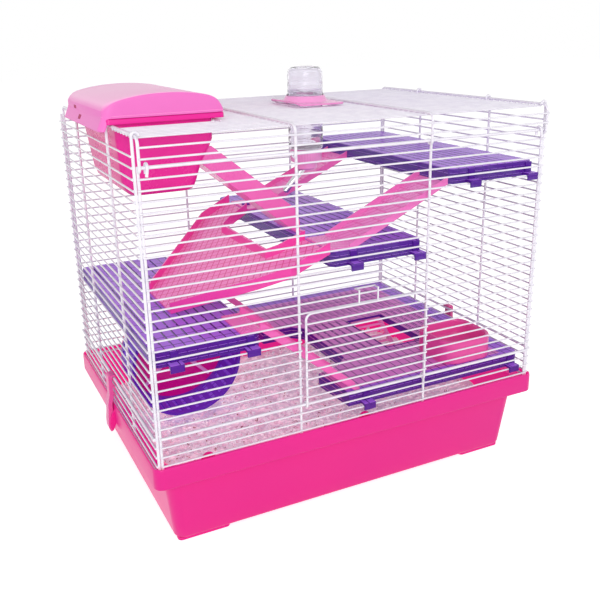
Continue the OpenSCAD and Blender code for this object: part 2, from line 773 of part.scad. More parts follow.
module nest_ramp() {
    x0 = tub_x1 - 18;
    z0 = tub_z0 + 30.6;
    x1 = middle_x0 + 4;
    z1 = middle_z + seat;
    s = (z1 - z0) / (x1 - x0);
    side = nest_ramp_side_h;
    y1 = nest_ramp_y0 + ramp_w;
    color([0.93, 0.43, 0.65]) {
        along_y([[x0, z0], [x1, z1], [x1 + 8, z1], [x1 + 8, z1 + ramp_t], [x1, z1 + ramp_t + 1],
            [x0, z0 + ramp_t + 1]], nest_ramp_y0, y1);
        for (y = [nest_ramp_y0, y1 - ramp_wall])
            along_y([[x0, z0], [x1, z1], [x1 + 3, z1], [x1 + 3, z1 + side * 0.5], [x1 - 2, z1 + side],
                [x0 + 16, z0 + 16 * s + side - 2], [x0, z0 + side * 0.4]], y, y + ramp_wall);
        n = floor((x1 - x0) / 12);
        for (i = [1 : n - 1]) {
            x = x0 + (x1 - x0) * i / n;
            z = z0 + (z1 - z0) * i / n + ramp_t;
            along_y([[x - 0.8, z - 1.6], [x + 0.8, z - 1.6], [x + 0.8, z + 1.9], [x - 0.8, z + 1.9]],
                nest_ramp_y0 + 1, y1 - 1);
        }
    }
}

module upper_back_ramp() {
    y0 = 62;
    color([0.92, 0.40, 0.63])
        ramp(upper_x0 - seat, upper_z - shelf_h, middle_x0 + 27, middle_z + seat,
            y0, ramp_w, 0, 27, ramp_side_h);
}

module upper_front_ramp() {
    y0 = -shelf_y + 3;
    color([0.94, 0.50, 0.75])
        ramp(upper_x0 - seat, upper_z - shelf_h, middle_x0 + 32, middle_z + seat,
            y0, ramp_w, 0, 32, ramp_side_h);
}

module lower_back_ramp() {
    y0 = notch_back + 2;
    color([0.90, 0.34, 0.60])
        ramp(lower_x1 + 1, lower_z + seat, platform_x0 + 8, platform_z + seat,
            y0, ramp_w, 16, 6, ramp_side_h);
}

module lower_front_ramp() {
    y0 = -shelf_y + 2;
    color([0.93, 0.45, 0.68])
        ramp(lower_x1 + 1, lower_z + seat, platform_x0 + 14, platform_z + seat,
            y0, ramp_w, 22, 7, ramp_side_h + 2);
}

module fan_ramp() {
    // a Y of two arms on the middle shelf's edge and one end on the lower shelf
    xe = middle_x0 - seat;
    xl = lower_x0 + 50;
    slope = (middle_z - ramp_t - lower_z - seat) / (xe - xl);
    a = atan(slope);
    plan = [[xl, -70], [xl + 78, -141], [xl + 106, -162], [xe, -shelf_y + 2], [xe, -104],
        [xe - 30, -98], [xe - 41, -90], [xe - 41, 46], [xe - 30, 54], [xe, 62],
        [xe, 128], [xl + 109, 124], [xl + 94, 108], [xl, 15]];
    color([0.95, 0.52, 0.74]) {
        intersection() {
            translate([0, 0, lower_z - 40]) linear_extrude(260) polygon(plan);
            translate([xl, -220, lower_z + seat]) rotate([0, -a, 0]) translate([-40, 0, 0])
                cube([320, 440, ramp_t]);
        }
        intersection() {
            difference() {
                translate([0, 0, lower_z + seat]) linear_extrude(260) polygon(plan);
                translate([0, 0, lower_z - 50]) linear_extrude(400) polygon(inset(plan, ramp_wall));
                // the ends are open for walking through
                translate([xl - 1, -66, lower_z - 50]) cube([ramp_wall + 1.5, 77, 400]);
                translate([xe - ramp_wall - 0.5, -shelf_y + 5, lower_z - 50]) cube([10, shelf_y - 112, 400]);
                translate([xe - ramp_wall - 0.5, 65, lower_z - 50]) cube([10, 60, 400]);
            }
            translate([xl, -220, lower_z + seat]) rotate([0, -a, 0]) translate([-40, 0, 0])
                cube([320, 440, fan_side_h]);
        }
    }
}

module ramp_peg() {
    // purple peg that pins the back ramp's toe to the middle shelf
    z = middle_z + seat + ramp_t;
    color([0.42, 0.22, 0.66])
        translate([middle_x0 + 10, 62 + ramp_w / 2, z]) {
            cylinder(h = 2, r = 6);
            translate([0, 0, 2]) cylinder(h = 1.2, r1 = 6, r2 = 4.5);
        }
}

// Nest box.

module tub_shape(t) {
    // front outline cut by the side outline
    z1 = flange_z1 + (t > 0 ? 1 : 0);
    z0 = tub_z0;
    intersection() {
        along_y([[tub_x0 + t, z1], [tub_x0 + 3.5 + t, z0 + 17], [tub_x0 + 6 + t, z0 + 8 + t / 2],
            [tub_x0 + 11 + t, z0 + 2.4 + t], [tub_x0 + 18 + t / 2, z0 + t], [tub_x1 - 30, z0 + t],
            [tub_x1 - 24 - t, z0 + 3 + t], [tub_x1 - 20.7 - t, z0 + 10 + t / 2],
            [tub_x1 - 14.6 - t, z0 + 27.6], [tub_x1 - 4 - t, z0 + 45], [tub_x1 - t, z0 + 54], [tub_x1 - t, z1]],
            tub_y0 - 1, tub_y1 + 1);
        along_x([[tub_y0 + t, z1], [tub_y0 + 1.5 + t, z0 + 12], [tub_y0 + 3.4 + t, z0 + 5 + t / 2],
            [tub_y0 + 8 + t, z0 + 0.8 + t], [tub_y0 + 13 + t, z0 - 1 + t], [tub_y1 - 38 - t, z0 - 1 + t],
            [tub_y1 - 30 - t, z0 + 5], [tub_y1 - t, z1 - 14], [tub_y1 - t, z1]], tub_x0 - 1, tub_x1 + 1);
    }
}

module nest_tub() {
    door_z0 = tub_z0 + 27.4;
    ramp_gap = seat;
    color([0.93, 0.20, 0.63]) {
        difference() {
            union() {
                tub_shape(0);
                translate([flange_x0, nest_y0, flange_z0])
                    cube([nest_x1 - flange_x0, nest_len, flange_z1 - flange_z0]);
            }
            tub_shape(nest_t);
            // hollow underside of the rim
            difference() {
                translate([flange_x0 + nest_t, nest_y0 + nest_t, flange_z0 - 1])
                    cube([nest_x1 - flange_x0 - 2 * nest_t, nest_len - 2 * nest_t,
                        flange_z1 - flange_z0 + 1 - nest_t]);
                translate([tub_x0, tub_y0, flange_z0 - 2]) cube([tub_x1 - tub_x0, tub_y1 - tub_y0, 20]);
            }
            // way out onto the ramp
            translate([tub_x1 - 28, nest_ramp_y0 - ramp_gap, door_z0])
                cube([40, ramp_w + 2 * ramp_gap, nest_ramp_side_h + 4]);
        }
        // ears that hold the lid's pin
        for (y = [nest_y0 + 26, nest_y1 - 34])
            difference() {
                union() {
                    translate([lid_pin_x, y + 8, lid_pin_z]) rotate([90, 0, 0])
                        cylinder(h = 8, r = knuckle_r);
                    translate([nest_x1 - 1, y, flange_z0 + 0.5])
                        cube([lid_pin_x + knuckle_r - nest_x1 + 1, 8, flange_z1 - flange_z0 - 0.5]);
                    translate([lid_pin_x - 2.2, y, flange_z0 + 0.5])
                        cube([2.2 + knuckle_r, 8, lid_pin_z - flange_z0]);
                }
                wire_y(y - 1, y + 9, lid_pin_x, lid_pin_z, lid_pin_r + running, $fn = 24);
            }
    }
}

// Height of the lid's arch at u, from -1 at its left end to 1 at its right end.
function arch_h(u) = lid_rise * (0.62 + 0.38 * (1 - pow(abs(u), 2.2))) * (1 - 0.75 * pow(max(0, u), 14));

// The lid's arch from right to left, drawn in further in.
function lid_arch(in) = let (
    mid = (lid_x0 + lid_x1) / 2,
    side = (lid_x1 - lid_x0) / 2 - in)
    [for (u = [1, 0.985, 0.96, 0.92, 0.86, 0.75, 0.6, 0.4, 0.2, 0, -0.2, -0.4, -0.6, -0.75, -0.88, -0.96, -1])
        [mid + u * side, flange_z1 + seat - in + arch_h(u)]];

module nest_lid() {
    z0 = flange_z1 + seat;
    color([0.95, 0.76, 0.86]) {
        difference() {
            along_y(concat([[lid_x1, z0]], lid_arch(0), [[lid_x0, z0]]), nest_y0, nest_y1);
            along_y(concat([[lid_x1 - lid_t, z0 - 1]], lid_arch(lid_t), [[lid_x0 + lid_t, z0 - 1]]),
                nest_y0 + lid_t, nest_y1 - lid_t);
        }
        // lip at the left end that flares out past the wires, to lift the lid by
        along_y([[lid_x0 + 2, z0 + 2], [lid_x0, z0 + 2], [lid_x0 - 0.6, z0 - 1], [lid_x0 - 5.5, z0 - 12],
            [lid_x0 - 3.8, z0 - 12.8], [lid_x0 + 1, z0 - 2], [lid_x0 + 2, z0]], nest_y0 + 1, nest_y1 - 1);
        // raised bead round the foot of the lid
        for (y = [nest_y0 - 0.6, nest_y1 - 1])
            translate([lid_x0 + 1, y, z0]) cube([nest_x1 - 2 - lid_x0, 1.6, 2.4]);
        // knuckles
        for (y = [nest_y0 + 42, nest_y1 - 60])
            difference() {
                union() {
                    translate([lid_pin_x, y + 18, lid_pin_z]) rotate([90, 0, 0])
                        cylinder(h = 18, r = knuckle_r);
                    translate([nest_x1 - 2.4, y, lid_pin_z - 1.6]) cube([lid_pin_x - nest_x1 + 2.4, 18, 3.6]);
                }
                wire_y(y - 1, y + 19, lid_pin_x, lid_pin_z, lid_pin_r + running, $fn = 24);
            }
    }
}

module lid_pin() {
    color([0.85, 0.25, 0.55])
        wire_y(nest_y0 + 26, nest_y1 - 26, lid_pin_x, lid_pin_z, lid_pin_r, $fn = 24);
}

// Wheel.

module ring_y(y0, y1, r1, r0) {
    translate([wheel_x, y1, wheel_z]) rotate([90, 0, 0]) difference() {
        cylinder(h = y1 - y0, r = r1, $fn = 96);
        translate([0, 0, -1]) cylinder(h = y1 - y0 + 2, r = r0, $fn = 96);
    }
}

module wheel_tread() {
    slot = PI * wheel_d / wheel_slots * 0.42;
    color([0.48, 0.26, 0.66])
        difference() {
            ring_y(wheel_y, disc_y, wheel_r, wheel_r - tread_t);
            for (i = [0 : wheel_slots - 1])
                translate([wheel_x, wheel_y + 7, wheel_z]) rotate([0, i * 360 / wheel_slots, 0])
                    translate([-slot / 2, 0, wheel_r - tread_t - 2]) cube([slot, wheel_w - 14, tread_t + 4]);
        }
}

module wheel_disc() {
    color([0.73, 0.06, 0.49])
        ring_y(disc_y, disc_y + disc_t, wheel_r, axle_r + running);
}

module wheel_spokes() {
    color([0.93, 0.62, 0.80]) {
        ring_y(disc_y - 7, disc_y, hub_r, axle_r + running);
        for (a = [45, 135, 225, 315])
            translate([wheel_x, disc_y - 3 - seat, wheel_z]) rotate([0, a, 0])
                translate([hub_r - 1, 0, -3]) cube([wheel_r - tread_t - hub_r - 3, 3, 6]);
    }
}

module wheel_axle() {
    // the pin through the hub, with its head in front
    color([0.80, 0.20, 0.55])
        translate([wheel_x, bracket_y, wheel_z]) rotate([90, 0, 0]) {
            cylinder(h = bracket_y - disc_y + 7 + seat, r = axle_r);
            translate([0, 0, bracket_y - disc_y + 7 + seat]) cylinder(h = 2.4, r = axle_r + 2.5);
        }
}

module wheel_bracket() {
    under = lower_z - shelf_t;
    color([0.84, 0.22, 0.56]) {
        translate([wheel_x - 12, bracket_y, wheel_z]) cube([24, 3.5, under - wheel_z - 1]);
        translate([wheel_x, bracket_y + 3.5, wheel_z]) rotate([90, 0, 0]) cylinder(h = 3.5, r = 12);
        translate([wheel_x - 20, bracket_y - 6, under - seat - 2.5]) cube([40, 16, 2.5]);
        for (x = [wheel_x - 12, wheel_x + 9])
            along_x([[bracket_y + 3, under - 2], [bracket_y + 3, under - 22], [bracket_y + 10, under - 2]],
                x, x + 3);
    }
}

// Bottle.

module bottle_collar() {
    z = collar_z;
    hole = bottle_r + seat;
    color([0.95, 0.55, 0.80])
        difference() {
            union() {
                translate([bottle_x - 1, bottle_y - 6, z]) linear_extrude(2) round_plan(32, 41, 7);
                translate([bottle_x, bottle_y, z + 2])
                    cylinder(h = collar_h - 2, r1 = hole + 5.5, r2 = hole + 1.2);
                // curled end
                along_y([[bottle_x - 33, z], [bottle_x - 31, z], [bottle_x - 33, z + 3.4],
                    [bottle_x - 35, z + 3.4]], bottle_y - 36, bottle_y + 24);
            }
            translate([bottle_x, bottle_y, z - 1]) cylinder(h = collar_h + 2, r = hole);
        }
}

function bottle_side(r, z0, z1, n, groove) = [for (i = [0 : n - 1]) for (k = [0 : 3])
    let (step = (z1 - z0) / n)
    [r - (k == 1 || k == 2 ? groove : 0), z0 + step * (i + [0, 0.3, 0.7, 1][k] * 0.98)]];

module bottle_body() {
    z0 = cap_top_z;
    z1 = z0 + bottle_len;
    rib_z = collar_z + collar_h + seat;
    color([0.86, 0.86, 0.90]) translate([bottle_x, bottle_y, 0]) {
        difference() {
            rotate_extrude() polygon(concat([[0, z0], [bottle_r, z0]],
                bottle_side(bottle_r, z0 + 3, z1 - 12, 9, 0.5),
                [[bottle_r, z1 - 11], [bottle_r - 1, z1 - 6], [bottle_r - 5, z1 - 1.6], [bottle_r - 9, z1],
                    [bottle_r - 13, z1 - 1], [0, z1 - 3]]));
            rotate_extrude() polygon([[0, z0 + bottle_wall], [bottle_r - 0.8 - bottle_wall, z0 + bottle_wall],
                [bottle_r - 0.8 - bottle_wall, z1 - 12], [bottle_r - 5 - bottle_wall, z1 - 3.6],
                [bottle_r - 13, z1 - 3.4], [0, z1 - 5]]);
        }
        // rib that rests on the collar
        difference() {
            translate([0, 0, rib_z]) cylinder(h = 1.8, r = bottle_r + 1.3);
            translate([0, 0, rib_z - 1]) cylinder(h = 4, r = bottle_r - 1);
        }
    }
}

module bottle_cap() {
    z1 = cap_top_z;
    color([0.94, 0.40, 0.68]) difference() {
        translate([bottle_x, bottle_y, 0]) rotate_extrude()
            polygon([[0, z1 - 26], [neck_r - 3, z1 - 26], [neck_r, z1 - 24], [neck_r, z1 - 16],
                [cap_r - 2, z1 - 16], [cap_r, z1 - 14], [cap_r, z1], [0, z1]]);
        spout_line(spout_r + running, 60);
    }
}

// A round bar down the spout's line, from inside the cap's neck.
module spout_line(r, l) {
    translate([bottle_x, bottle_y, cap_top_z - 20]) rotate([0, -136, 0]) cylinder(h = l, r = r);
}

module bottle_spout() {
    color([0.78, 0.79, 0.82]) difference() {
        spout_line(spout_r, spout_len);
        spout_line(spout_r - 1, spout_len + 2);
    }
}

module spout_ball() {
    color([0.85, 0.85, 0.88])
        translate([bottle_x, bottle_y, cap_top_z - 20]) rotate([0, -136, 0])
            translate([0, 0, spout_len - 1.2]) sphere(spout_r - 1 - 0.15);
}

// Bowl.

module food_bowl() {
    half = bowl_w / 2;
    color([0.92, 0.35, 0.62]) translate([bowl_x, bowl_y, platform_z + seat]) difference() {
        linear_extrude(bowl_h) round_plan(half, half, bowl_corner);
        translate([0, 0, bowl_t + 2]) linear_extrude(bowl_h)
            round_plan(half - bowl_t, half - bowl_t, bowl_corner - bowl_t);
    }
}

// Side clips.

module side_clip() {
    // drawn for the right side; it leans in over the tray's rim to the thick wire
    x0 = clip_pin_x - side_clip_t / 2;
    x1 = clip_pin_x + side_clip_t / 2;
    hook_z = hinge_z + thick_r + seat + 0.1;
    tip_x = side_thick_x - thick_r + 0.2;
    low = clip_pin_z - 10;
    over_rim = tray_h + 2;
    inner_x = side_thick_x + thick_r + 1;
    difference() {
        along_y([[x0, low + 5], [x0 + 1.6, low + 1.4], [x0 + 4, low], [x1 + 0.6, low + 1.6],
            [x1 + 2, low + 6], [x1 + 2, clip_pin_z + 4], [x1 + 0.8, clip_pin_z + 14], [x1, over_rim],
            [inner_x + 5, over_rim + 11], [inner_x + 4.6, hook_z + 0.6], [inner_x + 3, hook_z + 2.6],
            [tip_x + 1.6, hook_z + 3], [tip_x, hook_z + 1.8], [tip_x, hook_z], [inner_x, hook_z],
            [inner_x, over_rim + 7], [x0, over_rim]], -side_clip_w / 2, side_clip_w / 2);
        wire_y(-side_clip_w, side_clip_w, clip_pin_x, clip_pin_z, clip_pin_r + running, $fn = 24);
    }
}

module side_clip_left() {
    color([0.93, 0.45, 0.68]) mirror([1, 0, 0]) side_clip();
}

module side_clip_right() {
    color([0.93, 0.45, 0.68]) side_clip();
}

tray();
bedding();
front_grille();
back_grille();
left_grille();
right_grille();
roof_grille();
roof_hooks();
nest_tub();
nest_lid();
lid_pin();
upper_shelf();
middle_shelf();
lower_shelf();
platform();
platform_ladder();
nest_ramp();
upper_back_ramp();
upper_front_ramp();
fan_ramp();
lower_back_ramp();
lower_front_ramp();
ramp_peg();
wheel_bracket();
wheel_axle();
wheel_tread();
wheel_disc();
wheel_spokes();
bottle_collar();
bottle_body();
bottle_cap();
bottle_spout();
spout_ball();
food_bowl();
door_grille();
door_catch();
side_clip_left();
side_clip_right();
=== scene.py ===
"""Small animal cage: a deep tray, a welded wire top and everything that hangs in it.

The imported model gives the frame. Sizes are written in millimetres and turned
into metres when a mesh is made. +Z is up and the front panel faces -Y.
"""

import json
import logging
import math
import random
from dataclasses import dataclass, field, replace
from enum import Enum
from typing import Callable, Optional, Sequence

import bmesh
import bpy
from mathutils import Matrix, Vector, noise

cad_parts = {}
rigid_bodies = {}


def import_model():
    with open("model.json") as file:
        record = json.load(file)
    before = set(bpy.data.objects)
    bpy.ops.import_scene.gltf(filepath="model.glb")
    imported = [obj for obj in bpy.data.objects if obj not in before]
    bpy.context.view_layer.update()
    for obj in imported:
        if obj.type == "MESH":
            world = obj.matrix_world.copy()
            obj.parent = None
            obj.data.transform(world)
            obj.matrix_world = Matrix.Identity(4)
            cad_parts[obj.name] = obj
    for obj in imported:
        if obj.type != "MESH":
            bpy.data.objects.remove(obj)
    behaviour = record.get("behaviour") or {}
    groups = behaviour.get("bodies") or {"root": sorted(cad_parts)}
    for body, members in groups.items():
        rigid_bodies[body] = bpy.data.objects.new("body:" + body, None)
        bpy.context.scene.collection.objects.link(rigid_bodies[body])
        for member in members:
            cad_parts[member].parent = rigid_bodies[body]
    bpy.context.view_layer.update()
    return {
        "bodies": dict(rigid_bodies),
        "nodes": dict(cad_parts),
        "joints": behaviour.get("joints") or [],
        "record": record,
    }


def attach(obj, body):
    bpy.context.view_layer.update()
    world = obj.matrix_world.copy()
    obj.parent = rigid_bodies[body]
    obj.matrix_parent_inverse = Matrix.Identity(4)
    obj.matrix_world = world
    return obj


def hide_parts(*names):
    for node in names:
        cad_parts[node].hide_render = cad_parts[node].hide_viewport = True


MM = 0.001
LOG = logging.getLogger("cage")
Point = Sequence[float]
Pair = tuple[float, float]
Span = tuple[float, float, float, float]
Outline = tuple[Pair, ...]
Placing = Callable[[float, float, float], Point]
Colour = tuple[float, float, float, float]
Node = bpy.types.Node
Piece = bpy.types.Object
Socket = bpy.types.NodeSocket


def srgb(red: float, green: float, blue: float) -> Colour:
    """Turn a screen colour of 0 to 255 into the linear colour a shader takes.

    Args:
        red: Red part.
        green: Green part.
        blue: Blue part.

    Returns:
        The linear colour with full alpha.
    """
    parts = [part / 255 for part in (red, green, blue)]
    return (*(p / 12.92 if p <= 0.04045 else ((p + 0.055) / 1.055) ** 2.4 for p in parts), 1.0)


def read_off(table: Sequence[Pair], where: float) -> float:
    """Read a value off a table of places and values.

    Args:
        table: Pairs of place and value, with the places rising.
        where: The place to read at.

    Returns:
        The value there, straight between two entries.
    """
    if where <= table[0][0]:
        return table[0][1]
    for (a, low), (b, high) in zip(table, table[1:]):
        if where <= b:
            return low + (high - low) * ((where - a) / (b - a))
    return table[-1][1]


def round_angles(count: int) -> list[float]:
    """Share a full turn into equal angles."""
    return [2 * math.pi * k / count for k in range(count)]


def arc_angles(*degrees: int) -> list[float]:
    """Give the angles of a range of whole degrees."""
    return [math.radians(t) for t in range(*degrees)]


def half_round(middle: Pair, radius: float, lift: float, count: int = 12, start: float = 0.0) -> list[Pair]:
    """Give the points of a half circle, or of half an oval.

    Args:
        middle: Its middle.
        radius: Half its width.
        lift: Half its height.
        count: Faces along it.
        start: Where it starts, in half turns.

    Returns:
        The points, anticlockwise.
    """
    angles = [math.pi * (k / count + start) for k in range(count + 1)]
    return [(middle[0] + radius * math.cos(a), middle[1] + lift * math.sin(a)) for a in angles]


def rounded_ring(span: Span, radius: float, z: float, steps: int = 10) -> list[Point]:
    """Walk round a level rectangle with round corners, anticlockwise.

    Args:
        span: Left, right, front and back.
        radius: Radius of the corners.
        z: Height.
        steps: Faces round one corner.

    Returns:
        The points.
    """
    x0, x1, y0, y1 = span
    ring = []
    for x, y, turn in ((x1, y1, 0), (x0, y1, 90), (x0, y0, 180), (x1, y0, 270)):
        cx = x - radius if x == x1 else x + radius
        cy = y - radius if y == y1 else y + radius
        for i in range(steps + 1):
            a = math.radians(turn + 90 * i / steps)
            ring.append((cx + radius * math.cos(a), cy + radius * math.sin(a), z))
    return ring


def draw_in(outline: Sequence[Pair], inset: float) -> list[Pair]:
    """Draw an anticlockwise outline further in, with its corners kept sharp.

    Args:
        outline: Points of the outline.
        inset: How far in; less than 0 goes out.

    Returns:
        The new outline.
    """
    drawn = []
    for i, here in enumerate(outline):
        spot = Vector(here)
        back = (spot - Vector(outline[i - 1])).normalized()
        on = (Vector(outline[(i + 1) % len(outline)]) - spot).normalized()
        left, right = Vector((-back.y, back.x)), Vector((-on.y, on.x))
        moved = spot + inset * (left + right) / (1 + left.dot(right))
        drawn.append((moved.x, moved.y))
    return drawn


def along_x(u: float, v: float, w: float) -> Point:
    """Place an outline of Y and Z at a level along X."""
    return (w, u, v)


def along_y(u: float, v: float, w: float) -> Point:
    """Place an outline of X and Z at a level along Y."""
    return (u, w, v)


def along_z(u: float, v: float, w: float) -> Point:
    """Place an outline of X and Y at a level along Z."""
    return (u, v, w)


class Graph:
    """A hand that places and joins the nodes of one tree."""

    def __init__(self, tree: bpy.types.NodeTree) -> None:
        """Keep the tree."""
        self.tree = tree

    @classmethod
    def blank(cls, owner: bpy.types.ID) -> "Graph":
        """Clear the nodes of a material or a world and take them up.

        Args:
            owner: The material or world.

        Returns:
            Its empty graph.
        """
        owner.use_nodes = True
        owner.node_tree.nodes.clear()
        return cls(owner.node_tree)

    def add(self, kind: str, **settings: object) -> Node:
        """Place a node.

        Args:
            kind: The node's type without the word ShaderNode in front.
            settings: Properties of the node.

        Returns:
            The new node.
        """
        node = self.tree.nodes.new("ShaderNode" + kind)
        for name, value in settings.items():
            setattr(node, name, value)
        return node

    def fill(self, node: Node, values: dict[object, object]) -> Node:
        """Join outputs to a node's inputs, or write numbers and colours into them.

        Args:
            node: The node.
            values: What goes into each input, by its title or number.

        Returns:
            The same node.
        """
        for key, value in values.items():
            if isinstance(value, Socket):
                self.tree.links.new(value, node.inputs[key])
            else:
                node.inputs[key].default_value = value
        return node

    def maths(self, kind: str, *values: object) -> Socket:
        """Work out something from one or two values.

        Args:
            kind: The operation.
            values: Numbers or outputs of other nodes.

        Returns:
            The result's socket.
        """
        return self.fill(self.add("Math", operation=kind), dict(enumerate(values))).outputs[0]

    def times(self, first: object, second: object) -> Socket:
        """Multiply two values."""
        return self.maths("MULTIPLY", first, second)

    def plus(self, first: object, second: object) -> Socket:
        """Add two values."""
        return self.maths("ADD", first, second)

    def vectors(self, kind: str, first: object, second: object) -> bpy.types.NodeOutputs:
        """Work out something from two directions."""
        return self.fill(self.add("VectorMath", operation=kind), {0: first, 1: second}).outputs

    def here(self) -> Socket:
        """Give the piece's own coordinates."""
        return self.add("TexCoord").outputs["Object"]

    def facing(self) -> Socket:
        """Give the direction that the face looks in."""
        return self.add("NewGeometry").outputs["Normal"]

    def split(self, value: Socket) -> bpy.types.NodeOutputs:
        """Part a place or a direction into X, Y and Z."""
        return self.fill(self.add("SeparateXYZ"), {0: value}).outputs

    def stretch(self, place: Socket, scale: Point, turn: Point = (0, 0, 0)) -> Socket:
        """Turn and stretch coordinates."""
        values = {"Vector": place, "Rotation": turn, "Scale": scale}
        return self.fill(self.add("Mapping"), values).outputs["Vector"]

    def noise(self, place: Socket, scale: object, detail: float, rough: float = 0.5) -> Socket:
        """Place a noise pattern.

        Args:
            place: The coordinates.
            scale: How fine it is, a number or a socket.
            detail: Number of finer layers.
            rough: How strong the finer layers are.

        Returns:
            The pattern's value.
        """
        values = {"Vector": place, "Scale": scale, "Detail": detail, "Roughness": rough}
        return self.fill(self.add("TexNoise"), values).outputs["Fac"]

    def band(self, value: Socket, low: float, high: float) -> Socket:
        """Stretch low to high onto 0 to 1 with soft ends."""
        node = self.add("MapRange", interpolation_type="SMOOTHSTEP")
        return self.fill(node, {"Value": value, "From Min": low, "From Max": high}).outputs["Result"]

    def blend(self, share: object, first: object, second: object) -> Socket:
        """Mix two colours by a share of the second."""
        return self.fill(self.add("Mix", data_type="RGBA"), {0: share, 6: first, 7: second}).outputs[2]

    def bump(self, shader: Node, height: Socket, strength: float = 1.0) -> None:
        """Let a height in metres tilt a shader's faces."""
        node = self.fill(self.add("Bump"), {"Distance": 1.0, "Strength": strength, "Height": height})
        self.fill(shader, {"Normal": node.outputs["Normal"]})


class Effects:
    """Shader groups that the finishes share, each built once."""

    built: dict[str, bpy.types.NodeTree] = {}

    @classmethod
    def start(cls, name: str, takes: dict[str, object],
              *gives: str) -> tuple[Graph, bpy.types.NodeOutputs, Node]:
        """Open a new group.

        Args:
            name: The group's name.
            takes: Title and standard value of each input.
            gives: Title of each output; the one named Color is a colour.

        Returns:
            The graph, the inputs' sockets and the output node.
        """
        tree = bpy.data.node_groups.new(name, "ShaderNodeTree")
        for title, value in takes.items():
            kind = "NodeSocketColor" if isinstance(value, tuple) else "NodeSocketFloat"
            tree.interface.new_socket(title, in_out="INPUT", socket_type=kind).default_value = value
        for title in gives:
            kind = "NodeSocketColor" if title == "Color" else "NodeSocketFloat"
            tree.interface.new_socket(title, in_out="OUTPUT", socket_type=kind)
        cls.built[name] = tree
        return Graph(tree), tree.nodes.new("NodeGroupInput").outputs, tree.nodes.new("NodeGroupOutput")

    @classmethod
    def place(cls, graph: Graph, name: str, **values: object) -> bpy.types.NodeOutputs:
        """Place a shared group in a material.

        Args:
            graph: The material's graph.
            name: The group's name.
            values: Numbers, colours or sockets for its inputs.

        Returns:
            The group's outputs.
        """
        if name not in cls.built:
            getattr(cls, "make_" + name)()
        node = graph.add("Group", node_tree=cls.built[name])
        return graph.fill(node, {title.title(): value for title, value in values.items()}).outputs

    @classmethod
    def make_mould_flow(cls) -> None:
        """Slow drifts of colour, as pigment makes them in moulded plastic."""
        takes = {"Tint": (0.8, 0.8, 0.8, 1), "Shade": (0.6, 0.6, 0.6, 1), "Amount": 0.5, "Scale": 6.0}
        graph, entry, leave = cls.start("mould_flow", takes, "Color", "Patch")
        place = graph.here()
        slow = graph.noise(place, entry["Scale"], 3)
        fine = graph.noise(place, 420.0, 2)
        patch = graph.band(graph.plus(graph.times(slow, 0.8), graph.times(fine, 0.2)), 0.35, 0.68)
        colour = graph.blend(graph.times(patch, entry["Amount"]), entry["Tint"], entry["Shade"])
        graph.fill(leave, {"Color": colour, "Patch": patch})

    @classmethod
    def make_mould_grain(cls) -> None:
        """The faint peel of a moulded face with hairline scratches over it."""
        graph, entry, leave = cls.start("mould_grain", {"Scale": 900.0, "Scratches": 0.3}, "Height", "Rub")
        place = graph.here()
        peel = graph.noise(place, entry["Scale"], 2)
        along = graph.stretch(place, (30.0, 900.0, 500.0), (0.3, 0.2, 0.7))
        hair = graph.band(graph.noise(along, 1.0, 1), 0.66, 0.8)
        where = graph.band(graph.noise(place, 16.0, 2), 0.45, 0.65)
        rub = graph.times(graph.times(hair, where), entry["Scratches"])
        graph.fill(leave, {"Height": graph.maths("SUBTRACT", peel, rub), "Rub": rub})

    @classmethod
    def make_painted_edge_light(cls) -> None:
        """A mask of the outer edges, where light and shade are painted at a plastic's rims."""
        graph, entry, leave = cls.start("painted_edge_light", {"Reach": 0.0012}, "Mask")
        soft = graph.fill(graph.add("Bevel", samples=4), {"Radius": entry["Reach"]})
        dot = graph.vectors("DOT_PRODUCT", soft.outputs["Normal"], graph.facing())
        graph.fill(leave, {"Mask": graph.band(dot["Value"], 0.99, 0.8)})

    @classmethod
    def make_dust_and_top_light(cls) -> None:
        """Masks of the faces that look up, which carry painted top light and shade, and of the dust that lies
        on them.
        """
        graph, entry, leave = cls.start("dust_and_top_light", {"Amount": 0.2}, "Mask", "Up")
        up = graph.split(graph.facing())["Z"]
        cloud = graph.band(graph.noise(graph.here(), 45.0, 5, 0.65), 0.42, 0.75)
        lying = graph.times(graph.band(up, 0.4, 0.95), cloud)
        graph.fill(leave, {"Mask": graph.times(lying, entry["Amount"]), "Up": graph.band(up, 0.3, 0.8)})

    @classmethod
    def make_tread_lines(cls) -> None:
        """Two crossing sets of fine moulded lines, for a floor that paws can grip."""
        takes = {"First": 0.008, "Slant": 0.785, "Second": 0.008, "Turn": -0.785, "Width": 0.0008}
        graph, entry, leave = cls.start("tread_lines", takes, "Mask")
        part = graph.split(graph.here())
        lines = []
        for pitch, slant in ((entry["First"], entry["Slant"]), (entry["Second"], entry["Turn"])):
            across = graph.plus(graph.times(part["X"], graph.maths("COSINE", slant)),
                                graph.times(part["Y"], graph.maths("SINE", slant)))
            step = graph.maths("FRACT", graph.maths("DIVIDE", across, pitch))
            away = graph.times(graph.maths("ABSOLUTE", graph.maths("SUBTRACT", step, 0.5)), pitch)
            lines.append(graph.band(graph.maths("DIVIDE", away, entry["Width"]), 1.0, 0.5))
        graph.fill(leave, {"Mask": graph.maths("MAXIMUM", *lines)})

    @classmethod
    def make_inner_face(cls) -> None:
        """A mask of the walls that look towards the middle of their piece."""
        graph, entry, leave = cls.start("inner_face", {"Reach": 0.02}, "Mask")
        flat = graph.vectors("MULTIPLY", graph.here(), (1.0, 1.0, 0.0))
        dot = graph.vectors("DOT_PRODUCT", flat[0], graph.facing())
        inward = graph.maths("DIVIDE", graph.times(dot["Value"], -1.0), entry["Reach"])
        graph.fill(leave, {"Mask": graph.band(inward, 0.0, 1.0)})

